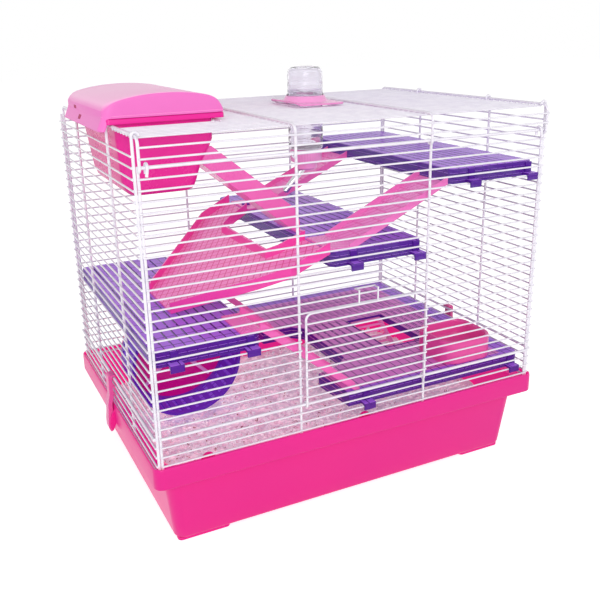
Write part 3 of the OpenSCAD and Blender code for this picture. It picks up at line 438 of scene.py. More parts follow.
    @classmethod
    def make_field(cls) -> None:
        """A mask of a level rectangle, such as the slotted field of a floor."""
        takes = {"Left": -0.1, "Right": 0.1, "Front": -0.1, "Back": 0.1}
        graph, entry, leave = cls.start("field", takes, "Mask")
        part = graph.split(graph.here())
        mask = 1.0
        for axis, low, high in (("X", "Left", "Right"), ("Y", "Front", "Back")):
            mask = graph.times(mask, graph.maths("GREATER_THAN", part[axis], entry[low]))
            mask = graph.times(mask, graph.maths("LESS_THAN", part[axis], entry[high]))
        graph.fill(leave, {"Mask": mask})


class Clarity(Enum):
    """How much light goes through a plastic."""

    SOLID = 1.0
    MILKY = 0.9
    TINTED = 0.84


class Tread(Enum):
    """Moulded line patterns: pitch and slant of the first and the second set."""

    NONE = (0.0, 0.0, 0.0, 0.0)
    DIAMOND = (0.008, 0.72, 0.008, -0.62)
    HATCH = (0.007, 0.95, 9.0, 0.0)
    GRID = (0.011, 0.0, 0.024, 1.5708)
    CHECK = (0.012, 0.0, 0.009, 1.5708)


@dataclass(frozen=True)
class Finish:
    """A finish: its name, its slot if that is named otherwise (not used here), and the material that it
    makes.
    """

    name: str
    slot: str = field(default="", kw_only=True)

    def material(self) -> bpy.types.Material:
        """Make the material, or find it if it was made before.

        Returns:
            The material.
        """
        label = self.name + "_finish"
        made = bpy.data.materials.get(label)
        if made is None:
            made = bpy.data.materials.new(label)
            graph = Graph.blank(made)
            shader = graph.add("BsdfPrincipled")
            graph.fill(graph.add("OutputMaterial"), {"Surface": shader.outputs[0]})
            self.dress(graph, shader)
        return made

    def dress(self, graph: Graph, shader: Node) -> None:
        """Set the shader for this finish."""
        raise NotImplementedError


@dataclass(frozen=True)
class Plastic(Finish):
    """Moulded plastic, solid or tinted and clear."""

    tint: Colour = (0.8, 0.8, 0.8, 1)
    shade: Colour = (0.6, 0.6, 0.6, 1)
    # The edge colour with its reach and share: painted light and shade at the outer edges. It is darker where
    # light would pass through the plastic's thickness, and a painted highlight where it is lighter.
    edge: Optional[Colour] = None
    painted_edge_reach: float = 0.0012
    painted_edge_share: float = 0.5
    rough: float = 0.3
    gloss: float = 0.0
    dust: float = 0.0
    dust_tone: Colour = srgb(244, 226, 236)
    clarity: Clarity = Clarity.SOLID
    tread: Tread = Tread.NONE
    # Painted shade in the tread's grooves: how far their lines take the edge or shade colour.
    groove_shade_share: float = 0.5
    # Painted light on faces that look up: top is a lighter colour standing in for the sky's light and
    # reflection on them. The middle box and its colour paint a pinker top where the pink below would shine
    # through.
    top: Optional[Colour] = None
    painted_top_share: float = 0.8
    middle: Optional[Span] = None
    middle_painted_top: Optional[Colour] = None
    # Painted glow: emission that lifts the plastic as if more light reached it, though it is no lamp.
    glow: float = 0.0
    # Painted light on walls that look inwards, where shade falls: a stronger emission there.
    painted_inner_glow: float = 0.0
    shine: float = 0.3
    peel: float = 0.00002
    groove: float = 0.0004

    def dress(self, graph: Graph, shader: Node) -> None:
        """Lay flow, painted edge light and shade, painted top light, tread lines with painted groove shade,
        dust and grain over each other, and a painted glow.

        Args:
            graph: The material's graph.
            shader: Its Principled node.
        """
        flow = Effects.place(graph, "mould_flow", tint=self.tint, shade=self.shade, amount=0.5, scale=6.0)
        grain = Effects.place(graph, "mould_grain", scale=900.0, scratches=0.35)
        dust = Effects.place(graph, "dust_and_top_light", amount=self.dust)
        colour = flow["Color"]
        # Painted edge light and shade, laid over the outer edges.
        if self.edge is not None:
            edge = Effects.place(graph, "painted_edge_light", reach=self.painted_edge_reach)
            colour = graph.blend(graph.times(edge["Mask"], self.painted_edge_share), colour, self.edge)
        # Painted light: faces that look up take the lighter top colour.
        if self.top is not None:
            top = self.top
            if self.middle is not None:
                left, right, front, back = self.middle
                inside = Effects.place(graph, "field", left=left, right=right, front=front, back=back)
                top = graph.blend(inside["Mask"], top, self.middle_painted_top)
            colour = graph.blend(graph.times(dust["Up"], self.painted_top_share), colour, top)
        height = graph.times(grain["Height"], self.peel)
        if self.tread is not Tread.NONE:
            first, slant, second, turn = self.tread.value
            lines = Effects.place(graph, "tread_lines", first=first, slant=slant, second=second, turn=turn)
            # Painted shade in the grooves of the tread lines, on faces that look up.
            drawn = graph.times(lines["Mask"], dust["Up"])
            colour = graph.blend(graph.times(drawn, self.groove_shade_share), colour, self.edge or self.shade)
            height = graph.plus(height, graph.times(drawn, self.groove))
        colour = painted_glow_colour = graph.blend(dust["Mask"], colour, self.dust_tone)
        # Painted light on the inner walls that lie in shade: their emission is raised.
        if self.painted_inner_glow:
            inner = Effects.place(graph, "inner_face")
            share = graph.maths("MAXIMUM", inner["Mask"], self.glow / self.painted_inner_glow)
            painted_glow_colour = graph.blend(share, srgb(0, 0, 0), colour)
        rough = graph.plus(graph.times(flow["Patch"], 0.08), self.rough)
        rough = graph.plus(rough, graph.times(dust["Mask"], 0.6))
        rough = graph.plus(rough, graph.times(grain["Rub"], 0.3))
        # The emission is painted glow, not a lamp.
        graph.fill(shader, {"Base Color": colour, "Roughness": rough, "Emission Color": painted_glow_colour,
                            "Emission Strength": max(self.glow, self.painted_inner_glow),
                            "Specular IOR Level": self.shine, "Coat Weight": self.gloss,
                            "Coat Roughness": 0.08, "Alpha": self.clarity.value})
        graph.bump(shader, height, 0.6)


@dataclass(frozen=True)
class WireCoat(Finish):
    """White plastic coating on steel wire, a little uneven."""

    tint: Colour = srgb(244, 241, 248)
    shade: Colour = srgb(224, 219, 232)
    # Painted shade: faces that look up take this greyer top colour, standing in for the duller light on the
    # roof wires.
    top: Colour = srgb(216, 211, 223)
    dust_tone: Colour = srgb(196, 186, 198)
    sag: float = 0.00012

    def dress(self, graph: Graph, shader: Node) -> None:
        """Lay slow runs, a painted greyer shade on the faces that look up, a little dust and a fine sag over
        the white.

        Args:
            graph: The material's graph.
            shader: Its Principled node.
        """
        flow = Effects.place(graph, "mould_flow", tint=self.tint, shade=self.shade, amount=0.55, scale=60.0)
        dust = Effects.place(graph, "dust_and_top_light", amount=0.06)
        # Painted shade: faces that look up are drawn greyer.
        colour = graph.blend(graph.times(dust["Up"], 0.6), flow["Color"], self.top)
        graph.fill(shader, {"Base Color": graph.blend(dust["Mask"], colour, self.dust_tone),
                            "Roughness": graph.plus(graph.times(flow["Patch"], 0.15), 0.3),
                            "Coat Weight": 0.25, "Coat Roughness": 0.1})
        graph.bump(shader, graph.times(graph.noise(graph.here(), 320.0, 2), self.sag), 0.7)


@dataclass(frozen=True)
class ClearPlastic(Finish):
    """Water-clear moulded plastic."""

    tint: Colour = srgb(248, 246, 252)
    shade: Colour = srgb(232, 228, 240)
    peel: float = 0.0001

    def dress(self, graph: Graph, shader: Node) -> None:
        """Let light through, with faint flow lines in the wall.

        Args:
            graph: The material's graph.
            shader: Its Principled node.
        """
        flow = Effects.place(graph, "mould_flow", tint=self.tint, shade=self.shade, amount=0.4, scale=30.0)
        grain = Effects.place(graph, "mould_grain", scale=300.0, scratches=0.5)
        graph.fill(shader, {"Base Color": flow["Color"], "Transmission Weight": 0.9, "IOR": 1.3,
                            "Roughness": graph.plus(graph.times(flow["Patch"], 0.06), 0.03)})
        graph.bump(shader, graph.times(grain["Height"], self.peel), 0.5)


@dataclass(frozen=True)
class Steel(Finish):
    """Bright drawn steel tube."""

    tint: Colour = srgb(214, 214, 218)
    shade: Colour = srgb(176, 176, 184)
    draw_lines: float = 0.00003

    def dress(self, graph: Graph, shader: Node) -> None:
        """Draw fine lines along the tube.

        Args:
            graph: The material's graph.
            shader: Its Principled node.
        """
        flow = Effects.place(graph, "mould_flow", tint=self.tint, shade=self.shade, amount=0.5, scale=90.0)
        grain = Effects.place(graph, "mould_grain", scale=1400.0, scratches=0.9)
        graph.fill(shader, {"Base Color": flow["Color"], "Metallic": 1.0,
                            "Roughness": graph.plus(graph.times(grain["Rub"], 0.25), 0.16)})
        graph.bump(shader, graph.times(grain["Height"], self.draw_lines))


@dataclass(frozen=True)
class Shavings(Finish):
    """Pale wood shavings; each flake carries its own tone."""

    pale: Colour = srgb(255, 244, 250)
    mid: Colour = srgb(246, 208, 226)
    bark: Colour = srgb(142, 72, 72)
    # Painted glow: emission that lifts the shavings as if more light reached them inside the cage.
    glow: float = 0.16
    relief: float = 0.00006

    def dress(self, graph: Graph, shader: Node) -> None:
        """Mix pale, mid and bark by the flake's tone, add wood grain and a painted glow.

        Args:
            graph: The material's graph.
            shader: Its Principled node.
        """
        tone = graph.add("Attribute", attribute_name="tone").outputs["Fac"]
        colour = graph.blend(graph.band(tone, 0.2, 0.7), self.pale, self.mid)
        colour = graph.blend(graph.band(tone, 0.84, 0.93), colour, self.bark)
        place = graph.here()
        grain = graph.noise(graph.stretch(place, (900.0, 160.0, 500.0)), 1.0, 3, 0.6)
        fleck = graph.band(graph.noise(place, 240.0, 3), 0.62, 0.7)
        colour = graph.blend(graph.times(grain, 0.25), colour, self.mid)
        colour = graph.blend(graph.times(fleck, 0.55), colour, self.bark)
        # The emission is painted glow, not a lamp.
        graph.fill(shader, {"Base Color": colour, "Emission Color": colour, "Emission Strength": self.glow,
                            "Specular IOR Level": 0.2,
                            "Roughness": graph.plus(graph.times(grain, 0.2), 0.65)})
        graph.bump(shader, graph.times(grain, self.relief))


class Palette:
    """Every finish of the cage, by the piece that wears it."""

    # Painted light and shade in these finishes: the top colours on faces that look up, the edge colours at
    # the rims, the glow and the inner glow.
    TRAY = Plastic(
        "tray_pink", srgb(218, 24, 130), srgb(212, 28, 130), edge=srgb(222, 36, 136), painted_edge_share=0.3,
        rough=0.34, gloss=0.06, dust=0.02, glow=0.16, painted_inner_glow=0.55)
    BEDDING = Shavings("bedding")
    WIRE = WireCoat("white_wire")
    TUB = Plastic("tub_pink", srgb(234, 28, 148), srgb(228, 38, 152), rough=0.25, gloss=0.1, glow=0.04)
    LID = Plastic(
        "lid_pink", srgb(238, 116, 196), srgb(234, 124, 198), edge=srgb(238, 92, 178), painted_edge_share=0.4,
        rough=0.34, gloss=0.03, dust=0.03, top=srgb(252, 190, 226), painted_top_share=0.95, glow=0.05, shine=0.15)
    PURPLE = Plastic(
        "purple", srgb(82, 26, 144), srgb(62, 14, 120), edge=srgb(38, 0, 82), painted_edge_share=0.9,
        painted_edge_reach=0.0014, rough=0.2, gloss=0.04, clarity=Clarity.TINTED, top=srgb(176, 112, 234),
        painted_top_share=0.85, tread=Tread.GRID, groove_shade_share=0.85, glow=0.2, shine=0.15)
    # The middle box paints a pinker top on the platform's middle: painted light of the pink below showing
    # through.
    PURPLE_WARM = replace(
        PURPLE, name="purple_warm", slot="purple", tint=srgb(88, 26, 138), shade=srgb(66, 16, 116),
        top=srgb(164, 96, 222), groove_shade_share=0.8, glow=0.24, middle=(-0.03, 0.21, -0.16, 0.147),
        middle_painted_top=srgb(222, 122, 204))
    RAMP = Plastic(
        "ramp_pink", srgb(236, 102, 182), srgb(232, 106, 184), edge=srgb(216, 30, 134), painted_edge_share=0.9,
        painted_edge_reach=0.0014, rough=0.24, gloss=0.2, clarity=Clarity.MILKY, top=srgb(240, 126, 200),
        painted_top_share=0.95, glow=0.14)
    RAMP_DIAMOND = replace(
        RAMP, name="ramp_pink_diamond", slot="ramp_pink", tint=srgb(234, 66, 164),
        shade=srgb(230, 72, 166), edge=srgb(218, 40, 136), painted_edge_share=0.6, rough=0.26, gloss=0.15,
        tread=Tread.DIAMOND, groove_shade_share=0.75, top=srgb(242, 142, 206), glow=0.16)
    RAMP_HATCH = replace(
        RAMP, name="ramp_pink_hatch", slot="ramp_pink", tint=srgb(232, 118, 190),
        shade=srgb(226, 112, 188), edge=srgb(216, 44, 144), painted_edge_share=0.7, tread=Tread.HATCH,
        top=srgb(236, 136, 206), painted_top_share=0.85)
    LADDER = Plastic(
        "ladder_pink", srgb(244, 140, 202), srgb(240, 128, 196), gloss=0.1, clarity=Clarity.MILKY,
        glow=0.12)
    WHEEL_PURPLE = Plastic(
        "wheel_purple", srgb(112, 50, 186), srgb(100, 40, 170), edge=srgb(40, 4, 104), painted_edge_share=0.9,
        painted_edge_reach=0.0016, rough=0.2, gloss=0.05, clarity=Clarity.TINTED, tread=Tread.CHECK,
        groove_shade_share=0.8, glow=0.45, shine=0.15, top=srgb(132, 70, 200), painted_top_share=0.7)
    WHEEL_RIB = Plastic(
        "wheel_rib", srgb(84, 24, 158), srgb(72, 16, 142), edge=srgb(40, 4, 100), painted_edge_share=0.8,
        rough=0.2, gloss=0.05, clarity=Clarity.TINTED, glow=0.4, shine=0.15, top=srgb(110, 48, 180),
        painted_top_share=0.7, slot="wheel_purple")
    WHEEL_MAGENTA = Plastic(
        "wheel_magenta", srgb(190, 4, 120), srgb(176, 6, 112), rough=0.26, gloss=0.15, glow=0.34)
    WHEEL_PALE = Plastic("wheel_pale", srgb(236, 150, 210), srgb(230, 136, 202), gloss=0.1, glow=0.14)
    # Painted shade: the dark pink of the latch slots' linings stands in for the shade in the slots.
    LATCH_SLOT_SHADE = Plastic("deep_pink", srgb(176, 20, 92), srgb(160, 16, 84), rough=0.5, slot="lid_pink")
    COLLAR = Plastic(
        "collar_pink", srgb(250, 164, 220), srgb(246, 150, 212), edge=srgb(230, 80, 170), painted_edge_share=0.4,
        rough=0.24, gloss=0.25)
    BOWL = Plastic(
        "bowl_pink", srgb(230, 78, 160), srgb(224, 84, 164), edge=srgb(242, 120, 190), painted_edge_reach=0.003,
        rough=0.26, gloss=0.2, clarity=Clarity.MILKY, glow=0.12, slot="ramp_pink")
    CLIP = Plastic(
        "clip_pink", srgb(230, 84, 158), srgb(224, 92, 162), edge=srgb(214, 46, 134), gloss=0.1,
        dust=0.02)
    CLEAR = ClearPlastic("clear")
    STEEL = Steel("steel")


class Shape:
    """Points and faces gathered in millimetres, then made into one object."""

    def __init__(self) -> None:
        """Start with nothing."""
        self.points: list[tuple[float, float, float]] = []
        self.faces: list[tuple[int, ...]] = []

    def loft(self, rings: Sequence[Sequence[Point]], wrap: bool = False) -> None:
        """Join closed rings of equal length one after another.

        Args:
            rings: The rings, each a list of points.
            wrap: Whether the last ring joins the first; otherwise both are closed with a face.
        """
        base = len(self.points)
        n = len(rings[0])
        for ring in rings:
            self.points.extend(tuple(p) for p in ring)
        for j in range(len(rings) if wrap else len(rings) - 1):
            here = base + j * n
            there = base + ((j + 1) % len(rings)) * n
            for i in range(n):
                k = (i + 1) % n
                self.faces.append((here + i, here + k, there + k, there + i))
        if not wrap:
            self.faces.append(tuple(base + n - 1 - i for i in range(n)))
            self.faces.append(tuple(base + (len(rings) - 1) * n + i for i in range(n)))

    def sweep(self, path: Sequence[Point], radius: float, sides: int = 12) -> None:
        """Draw a round wire along a path.

        Args:
            path: Points along the middle.
            radius: Radius of the wire.
            sides: Number of faces round it.
        """
        rings = []
        points = [Vector(p) for p in path]
        across = None
        for i, point in enumerate(points):
            ahead = points[min(i + 1, len(points) - 1)] - points[max(i - 1, 0)]
            ahead.normalize()
            if across is None:
                start = Vector((0, 0, 1)) if abs(ahead.z) < 0.9 else Vector((1, 0, 0))
                across = ahead.cross(start).normalized()
            across = (across - ahead * across.dot(ahead)).normalized()
            up = ahead.cross(across)
            rings.append([point + radius * (math.cos(a) * across + math.sin(a) * up)
                          for a in round_angles(sides)])
        self.loft(rings)

    def prism(self, outline: Sequence[Pair], near: float, far: float, place: Placing = along_y) -> None:
        """Draw an outline out between two levels.

        Args:
            outline: Points of the outline.
            near: First level.
            far: Last level.
            place: Turns outline place and level into a point.
        """
        self.loft([[place(u, v, level) for u, v in outline] for level in (near, far)])

    def box(self, low: Point, high: Point) -> None:
        """Add a block between two corners."""
        (x0, y0, z0), (x1, y1, z1) = low, high
        self.prism([(x0, y0), (x1, y0), (x1, y1), (x0, y1)], z0, z1, along_z)

    def bead(self, centre: Point, size: Point) -> None:
        """Add a small squashed ball, as weld metal under its coating.

        Args:
            centre: Its middle.
            size: Half its length along each axis.
        """
        rings = []
        levels, sides = 5, 8
        for tilt in (math.pi * (j + 0.5) / levels for j in range(levels)):
            rings.append([(centre[0] + size[0] * math.sin(tilt) * math.cos(a),
                           centre[1] + size[1] * math.sin(tilt) * math.sin(a),
                           centre[2] + size[2] * math.cos(tilt)) for a in round_angles(sides)])
        self.loft(rings[::-1])

    def make(self, name: str, bevel: float = 0.0, angle: float = 32.0) -> Piece:
        """Make the object.

        Args:
            name: The object's name.
            bevel: Width of the rounding on its sharp edges, in millimetres.
            angle: Edges sharper than this are rounded, in degrees.

        Returns:
            The object, smooth and with its modifiers applied.
        """
        mesh = bpy.data.meshes.new(name)
        mesh.from_pydata([(x * MM, y * MM, z * MM) for x, y, z in self.points], [], self.faces)
        return Workshop.finish(name, mesh, bevel, 2, angle)


class Workshop:
    """Steps that finish a mesh or hand a piece to the frame."""

    frame: dict = {}

    @classmethod
    def stand(cls, name: str, data: bpy.types.ID) -> Piece:
        """Put a mesh, a lamp or a camera into the scene.

        Args:
            name: The object's name.
            data: What it shows.

        Returns:
            The object.
        """
        piece = bpy.data.objects.new(name, data)
        bpy.context.scene.collection.objects.link(piece)
        return piece

    @classmethod
    def settle(cls, piece: Piece, sharp: float) -> Piece:
        """Apply all modifiers of a piece.

        Args:
            piece: The object.
            sharp: Edges sharper than this stay sharp, in degrees; 0 leaves them as they are.

        Returns:
            The same object with its modifiers in its mesh.
        """
        graph = bpy.context.evaluated_depsgraph_get()
        mesh = bpy.data.meshes.new_from_object(piece.evaluated_get(graph))
        piece.modifiers.clear()
        piece.data = mesh
        if sharp:
            mesh.set_sharp_from_angle(angle=math.radians(sharp))
        return piece

    @classmethod
    def finish(cls, name: str, mesh: bpy.types.Mesh, bevel: float, steps: int, angle: float) -> Piece:
        """Turn a mesh's faces outwards, round its sharp edges and shade it smoothly.

        Args:
            name: The piece's name.
            mesh: The mesh.
            bevel: Width of the rounding in millimetres, or 0 for none.
            steps: Faces across it.
            angle: Edges sharper than this are rounded, in degrees.

        Returns:
            The piece.
        """
        work = bmesh.new()
        work.from_mesh(mesh)
        bmesh.ops.recalc_face_normals(work, faces=work.faces)
        work.to_mesh(mesh)
        work.free()
        piece = cls.stand(name, mesh)
        for face in mesh.polygons:
            face.use_smooth = True
        if bevel == 0:
            mesh.set_sharp_from_angle(angle=math.radians(angle))
            return piece
        edge = piece.modifiers.new("edge", "BEVEL")
        edge.width = bevel * MM
        edge.segments = steps
        edge.limit_method = "ANGLE"
        edge.angle_limit = math.radians(angle)
        edge.use_clamp_overlap = False
        edge.miter_outer = "MITER_ARC"
        piece.modifiers.new("even", "WEIGHTED_NORMAL").keep_sharp = True
        return cls.settle(piece, 0)

    @classmethod
    def cast(cls, node: str, bevel: float, steps: int = 2) -> Piece:
        """Make a piece with rounded edges from a node's own form.

        Args:
            node: The CAD node.
            bevel: Width of the rounding in millimetres.
            steps: Faces across it.

        Returns:
            The new piece.
        """
        name = node + "_moulding"
        work = bmesh.new()
        work.from_mesh(cls.frame["nodes"][node].data)
        bmesh.ops.remove_doubles(work, verts=work.verts, dist=0.00001)
        bmesh.ops.dissolve_limit(work, angle_limit=math.radians(1.5), verts=work.verts, edges=work.edges)
        mesh = bpy.data.meshes.new(name)
        work.to_mesh(mesh)
        work.free()
        return cls.finish(name, mesh, bevel, steps, 25.0)

    @classmethod
    def cut(cls, piece: Piece, tool: Piece) -> Piece:
        """Cut a tool's form out of a piece and throw the tool away.

        Args:
            piece: What is cut.
            tool: The form that comes out.

        Returns:
            The piece.
        """
        step = piece.modifiers.new("cut", "BOOLEAN")
        step.operation = "DIFFERENCE"
        step.solver = "EXACT"
        step.object = tool
        bpy.context.view_layer.update()
        cls.settle(piece, 40)
        bpy.data.objects.remove(tool)
        return piece

    @classmethod
    def hand_over(cls, piece: Piece, finish: Finish, body: str, *nodes: str) -> None:
        """Give a piece its finish, its body and the nodes it stands for.

        Args:
            piece: The object.
            finish: Its finish.
            body: The body it rides on.
            nodes: CAD nodes that it replaces.
        """
        piece.data.materials.clear()
        piece.data.materials.append(finish.material())
        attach(piece, body)
        if nodes:
            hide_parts(*nodes)
        LOG.info("%s: %d faces on %s", piece.name, len(piece.data.polygons), body)

    @classmethod
    def redress(cls, finish: Finish, *nodes: str) -> None:
        """Give the objects of CAD nodes a better material.

        Args:
            finish: The finish they get.
            nodes: The nodes.
        """
        for node in nodes:
            held = cls.frame["nodes"][node]
            if not held.material_slots:
                held.data.materials.append(finish.material())
            for place in held.material_slots:
                place.material = finish.material()
            LOG.info("%s: keeps its form, wears %s", node, finish.name)


@dataclass
class TrayPan:
    """The deep tray with its rolled rim, feet, tabs and clip lugs.

    The rise is heights above the floor, the roll is drops and insets of the rim.
    """

    half_x: float = 250.3
    half_y: float = 179.8
    rim_r: float = 10.0
    body_r: float = 16.0
    top_z: float = 110.0
    ledge_z: float = 102.2
    skirt_z: float = 86.0
    wall: float = 2.2
    step: float = 15.0
    draft: float = 10.0
    foot_z: float = 2.5
    floor_r: float = 5.0
    foot_x: Pair = (161.1, 223.0)
    foot_y: Pair = (140.6, 152.6)
    tabs: Pair = (-189.0, 4.0)
    tab_r: float = 8.0
    tab_rise: float = 8.6
    tab_y: Pair = (-168.8, -171.0)
    lug: Outline = ((249.3, 104), (250.3, 104), (254.0, 97.5), (257.0, 90), (257.0, 80.5), (255.6, 78.4),
                    (252.8, 78.2), (251.6, 80), (249.3, 86.5))
    lug_y: float = 8.5
    lug_half: float = 1.2
    pin_x: float = 253.8
    pin_z: float = 84.0
    pin_r: float = 1.5
    rise: tuple[float, ...] = (0.0, 0.15, 0.5, 1.1, 2.0, 3.3, 5.0, 20.0, 40.0, 60.0)
    roll: Outline = ((0.15, 1.15), (0.6, 0.75), (1.5, 0.42), (3.0, 0.16), (5.0, 0.04), (9.0, 0.0))

    def ring(self, inset: float, z: float, radius: float) -> list[Point]:
        """Give one level of the pan, drawn in from the rim's outer face."""
        x, y = self.half_x, self.half_y
        return rounded_ring((-x + inset, x - inset, -y + inset, y - inset), radius, z, 14)

    def body(self, z: float, wall: float) -> list[Point]:
        """Give one level of the drafted wall.

        Args:
            z: Height above the table.
            wall: How far the face lies inside the outer one.

        Returns:
            The level's points.
        """
        low = self.foot_z + wall
        up = (z - low) / (self.skirt_z - low)
        inset = self.step + wall + self.draft * max(0.0, 1 - up)
        if z < low + self.floor_r:
            a = 1 - (z - low) / self.floor_r
            inset += self.floor_r * (1 - math.sqrt(max(0.0, 1 - a * a)))
        return self.ring(inset, z, self.body_r - wall - 5.0 * max(0.0, 1 - up))

    def pan(self) -> Piece:
        """Loft the pan from the inner floor over the rim to the underside.

        Returns:
            The pan.
        """
        wall, rim, ledge, skirt, top = self.wall, self.rim_r, self.ledge_z, self.skirt_z, self.top_z
        inner, corner, under = self.step + wall, self.body_r - wall, ledge - wall
        rows = [(inner, skirt, corner), (inner, ledge - 1.2, corner), (inner - 0.4, ledge - 0.3, corner),
                (inner - 1.2, ledge, corner), (wall + 1.0, ledge, rim - wall - 1),
                (wall + 0.25, ledge + 0.3, rim - wall), (wall, ledge + 1.0, rim - wall),
                (wall, top - 0.8, rim - wall), (wall - 0.2, top - 0.25, rim - wall + 0.2),
                (wall - 0.7, top, rim - wall + 0.7)]
        rows += [(inset, top - down, rim - inset) for down, inset in self.roll]
        rows += [(0.0, skirt + 1.2, rim), (0.12, skirt + 0.4, rim), (0.5, skirt, rim - 0.5),
                 (wall, skirt, rim - wall), (wall, skirt + 1, rim - wall), (wall, under - 1, rim - wall),
                 (wall + 1, under, rim - wall - 1), (self.step - 1, under, self.body_r),
                 (self.step, under - 1, self.body_r), (self.step, skirt, self.body_r)]
        rings = [self.body(self.foot_z + wall + h, wall) for h in self.rise]
        rings += [self.ring(*row) for row in rows]
        rings += [self.body(self.foot_z + h, 0.0) for h in reversed(self.rise)]
        shape = Shape()
        shape.loft(rings)
        return shape.make("tray_pan", angle=50)

    def fittings(self) -> Piece:
        """Make the feet, the tabs on the ledge and the lugs with their pins.

        Returns:
            The fittings as one piece.
        """
        shape = Shape()
        for sx in (-1, 1):
            for sy in (-1, 1):
                span = (*sorted(sx * x for x in self.foot_x), *sorted(sy * y for y in self.foot_y))
                shape.loft([rounded_ring(span, 5.0, z, 6) for z in (0.0, self.foot_z, self.foot_z + 1)])
        for x in self.tabs:
            outline = half_round((x, self.ledge_z + 1.2), self.tab_r, self.tab_rise, 16)
            outline += [(x + side * self.tab_r, self.ledge_z - 1) for side in (-1, 1)]
            shape.prism(outline, *self.tab_y)
        for side in (-1, 1):
            for y in (-self.lug_y, self.lug_y):
                shape.prism([(side * u, v) for u, v in self.lug], y - self.lug_half, y + self.lug_half)
            pin = [(side * self.pin_x, y, self.pin_z) for y in (-self.lug_y, self.lug_y)]
            shape.sweep(pin, self.pin_r, 20)
        return shape.make("tray_fittings", bevel=0.5)

    def build(self) -> None:
        """Make the tray and hand it over."""
        Workshop.hand_over(self.pan(), Palette.TRAY, "cage", "tray")
        Workshop.hand_over(self.fittings(), Palette.TRAY, "cage", "tray")


@dataclass
class Flake:
    """One curled shaving: where it lies, how it is turned, its size, curl and tone."""

    middle: Vector
    turn: Matrix
    long: float
    wide: float
    curl: float
    tone: float

    def edges(self, dice: random.Random, rows: int) -> list[Point]:
        """Give both edges of the flake, row by row.

        Args:
            dice: The source of random numbers.
            rows: Number of faces along it.

        Returns:
            The points in metres, one of each edge in turn.
        """
        points = []
        bent = abs(self.curl) > 0.05
        for s in (j / rows - 0.5 for j in range(rows + 1)):
            bend = s * self.curl * 1.2
            along = self.long * (math.sin(bend) / self.curl / 1.2 if bent else s)
            lift = self.long * ((1 - math.cos(bend)) / self.curl / 1.2 if bent else 0)
            narrow = self.wide * (1 - 1.1 * s * s) * dice.uniform(0.85, 1.1)
            for across in (-0.5, 0.5):
                spot = self.middle + self.turn @ Vector((along, across * narrow, lift))
                points.append((spot.x * MM, spot.y * MM, spot.z * MM))
        return points


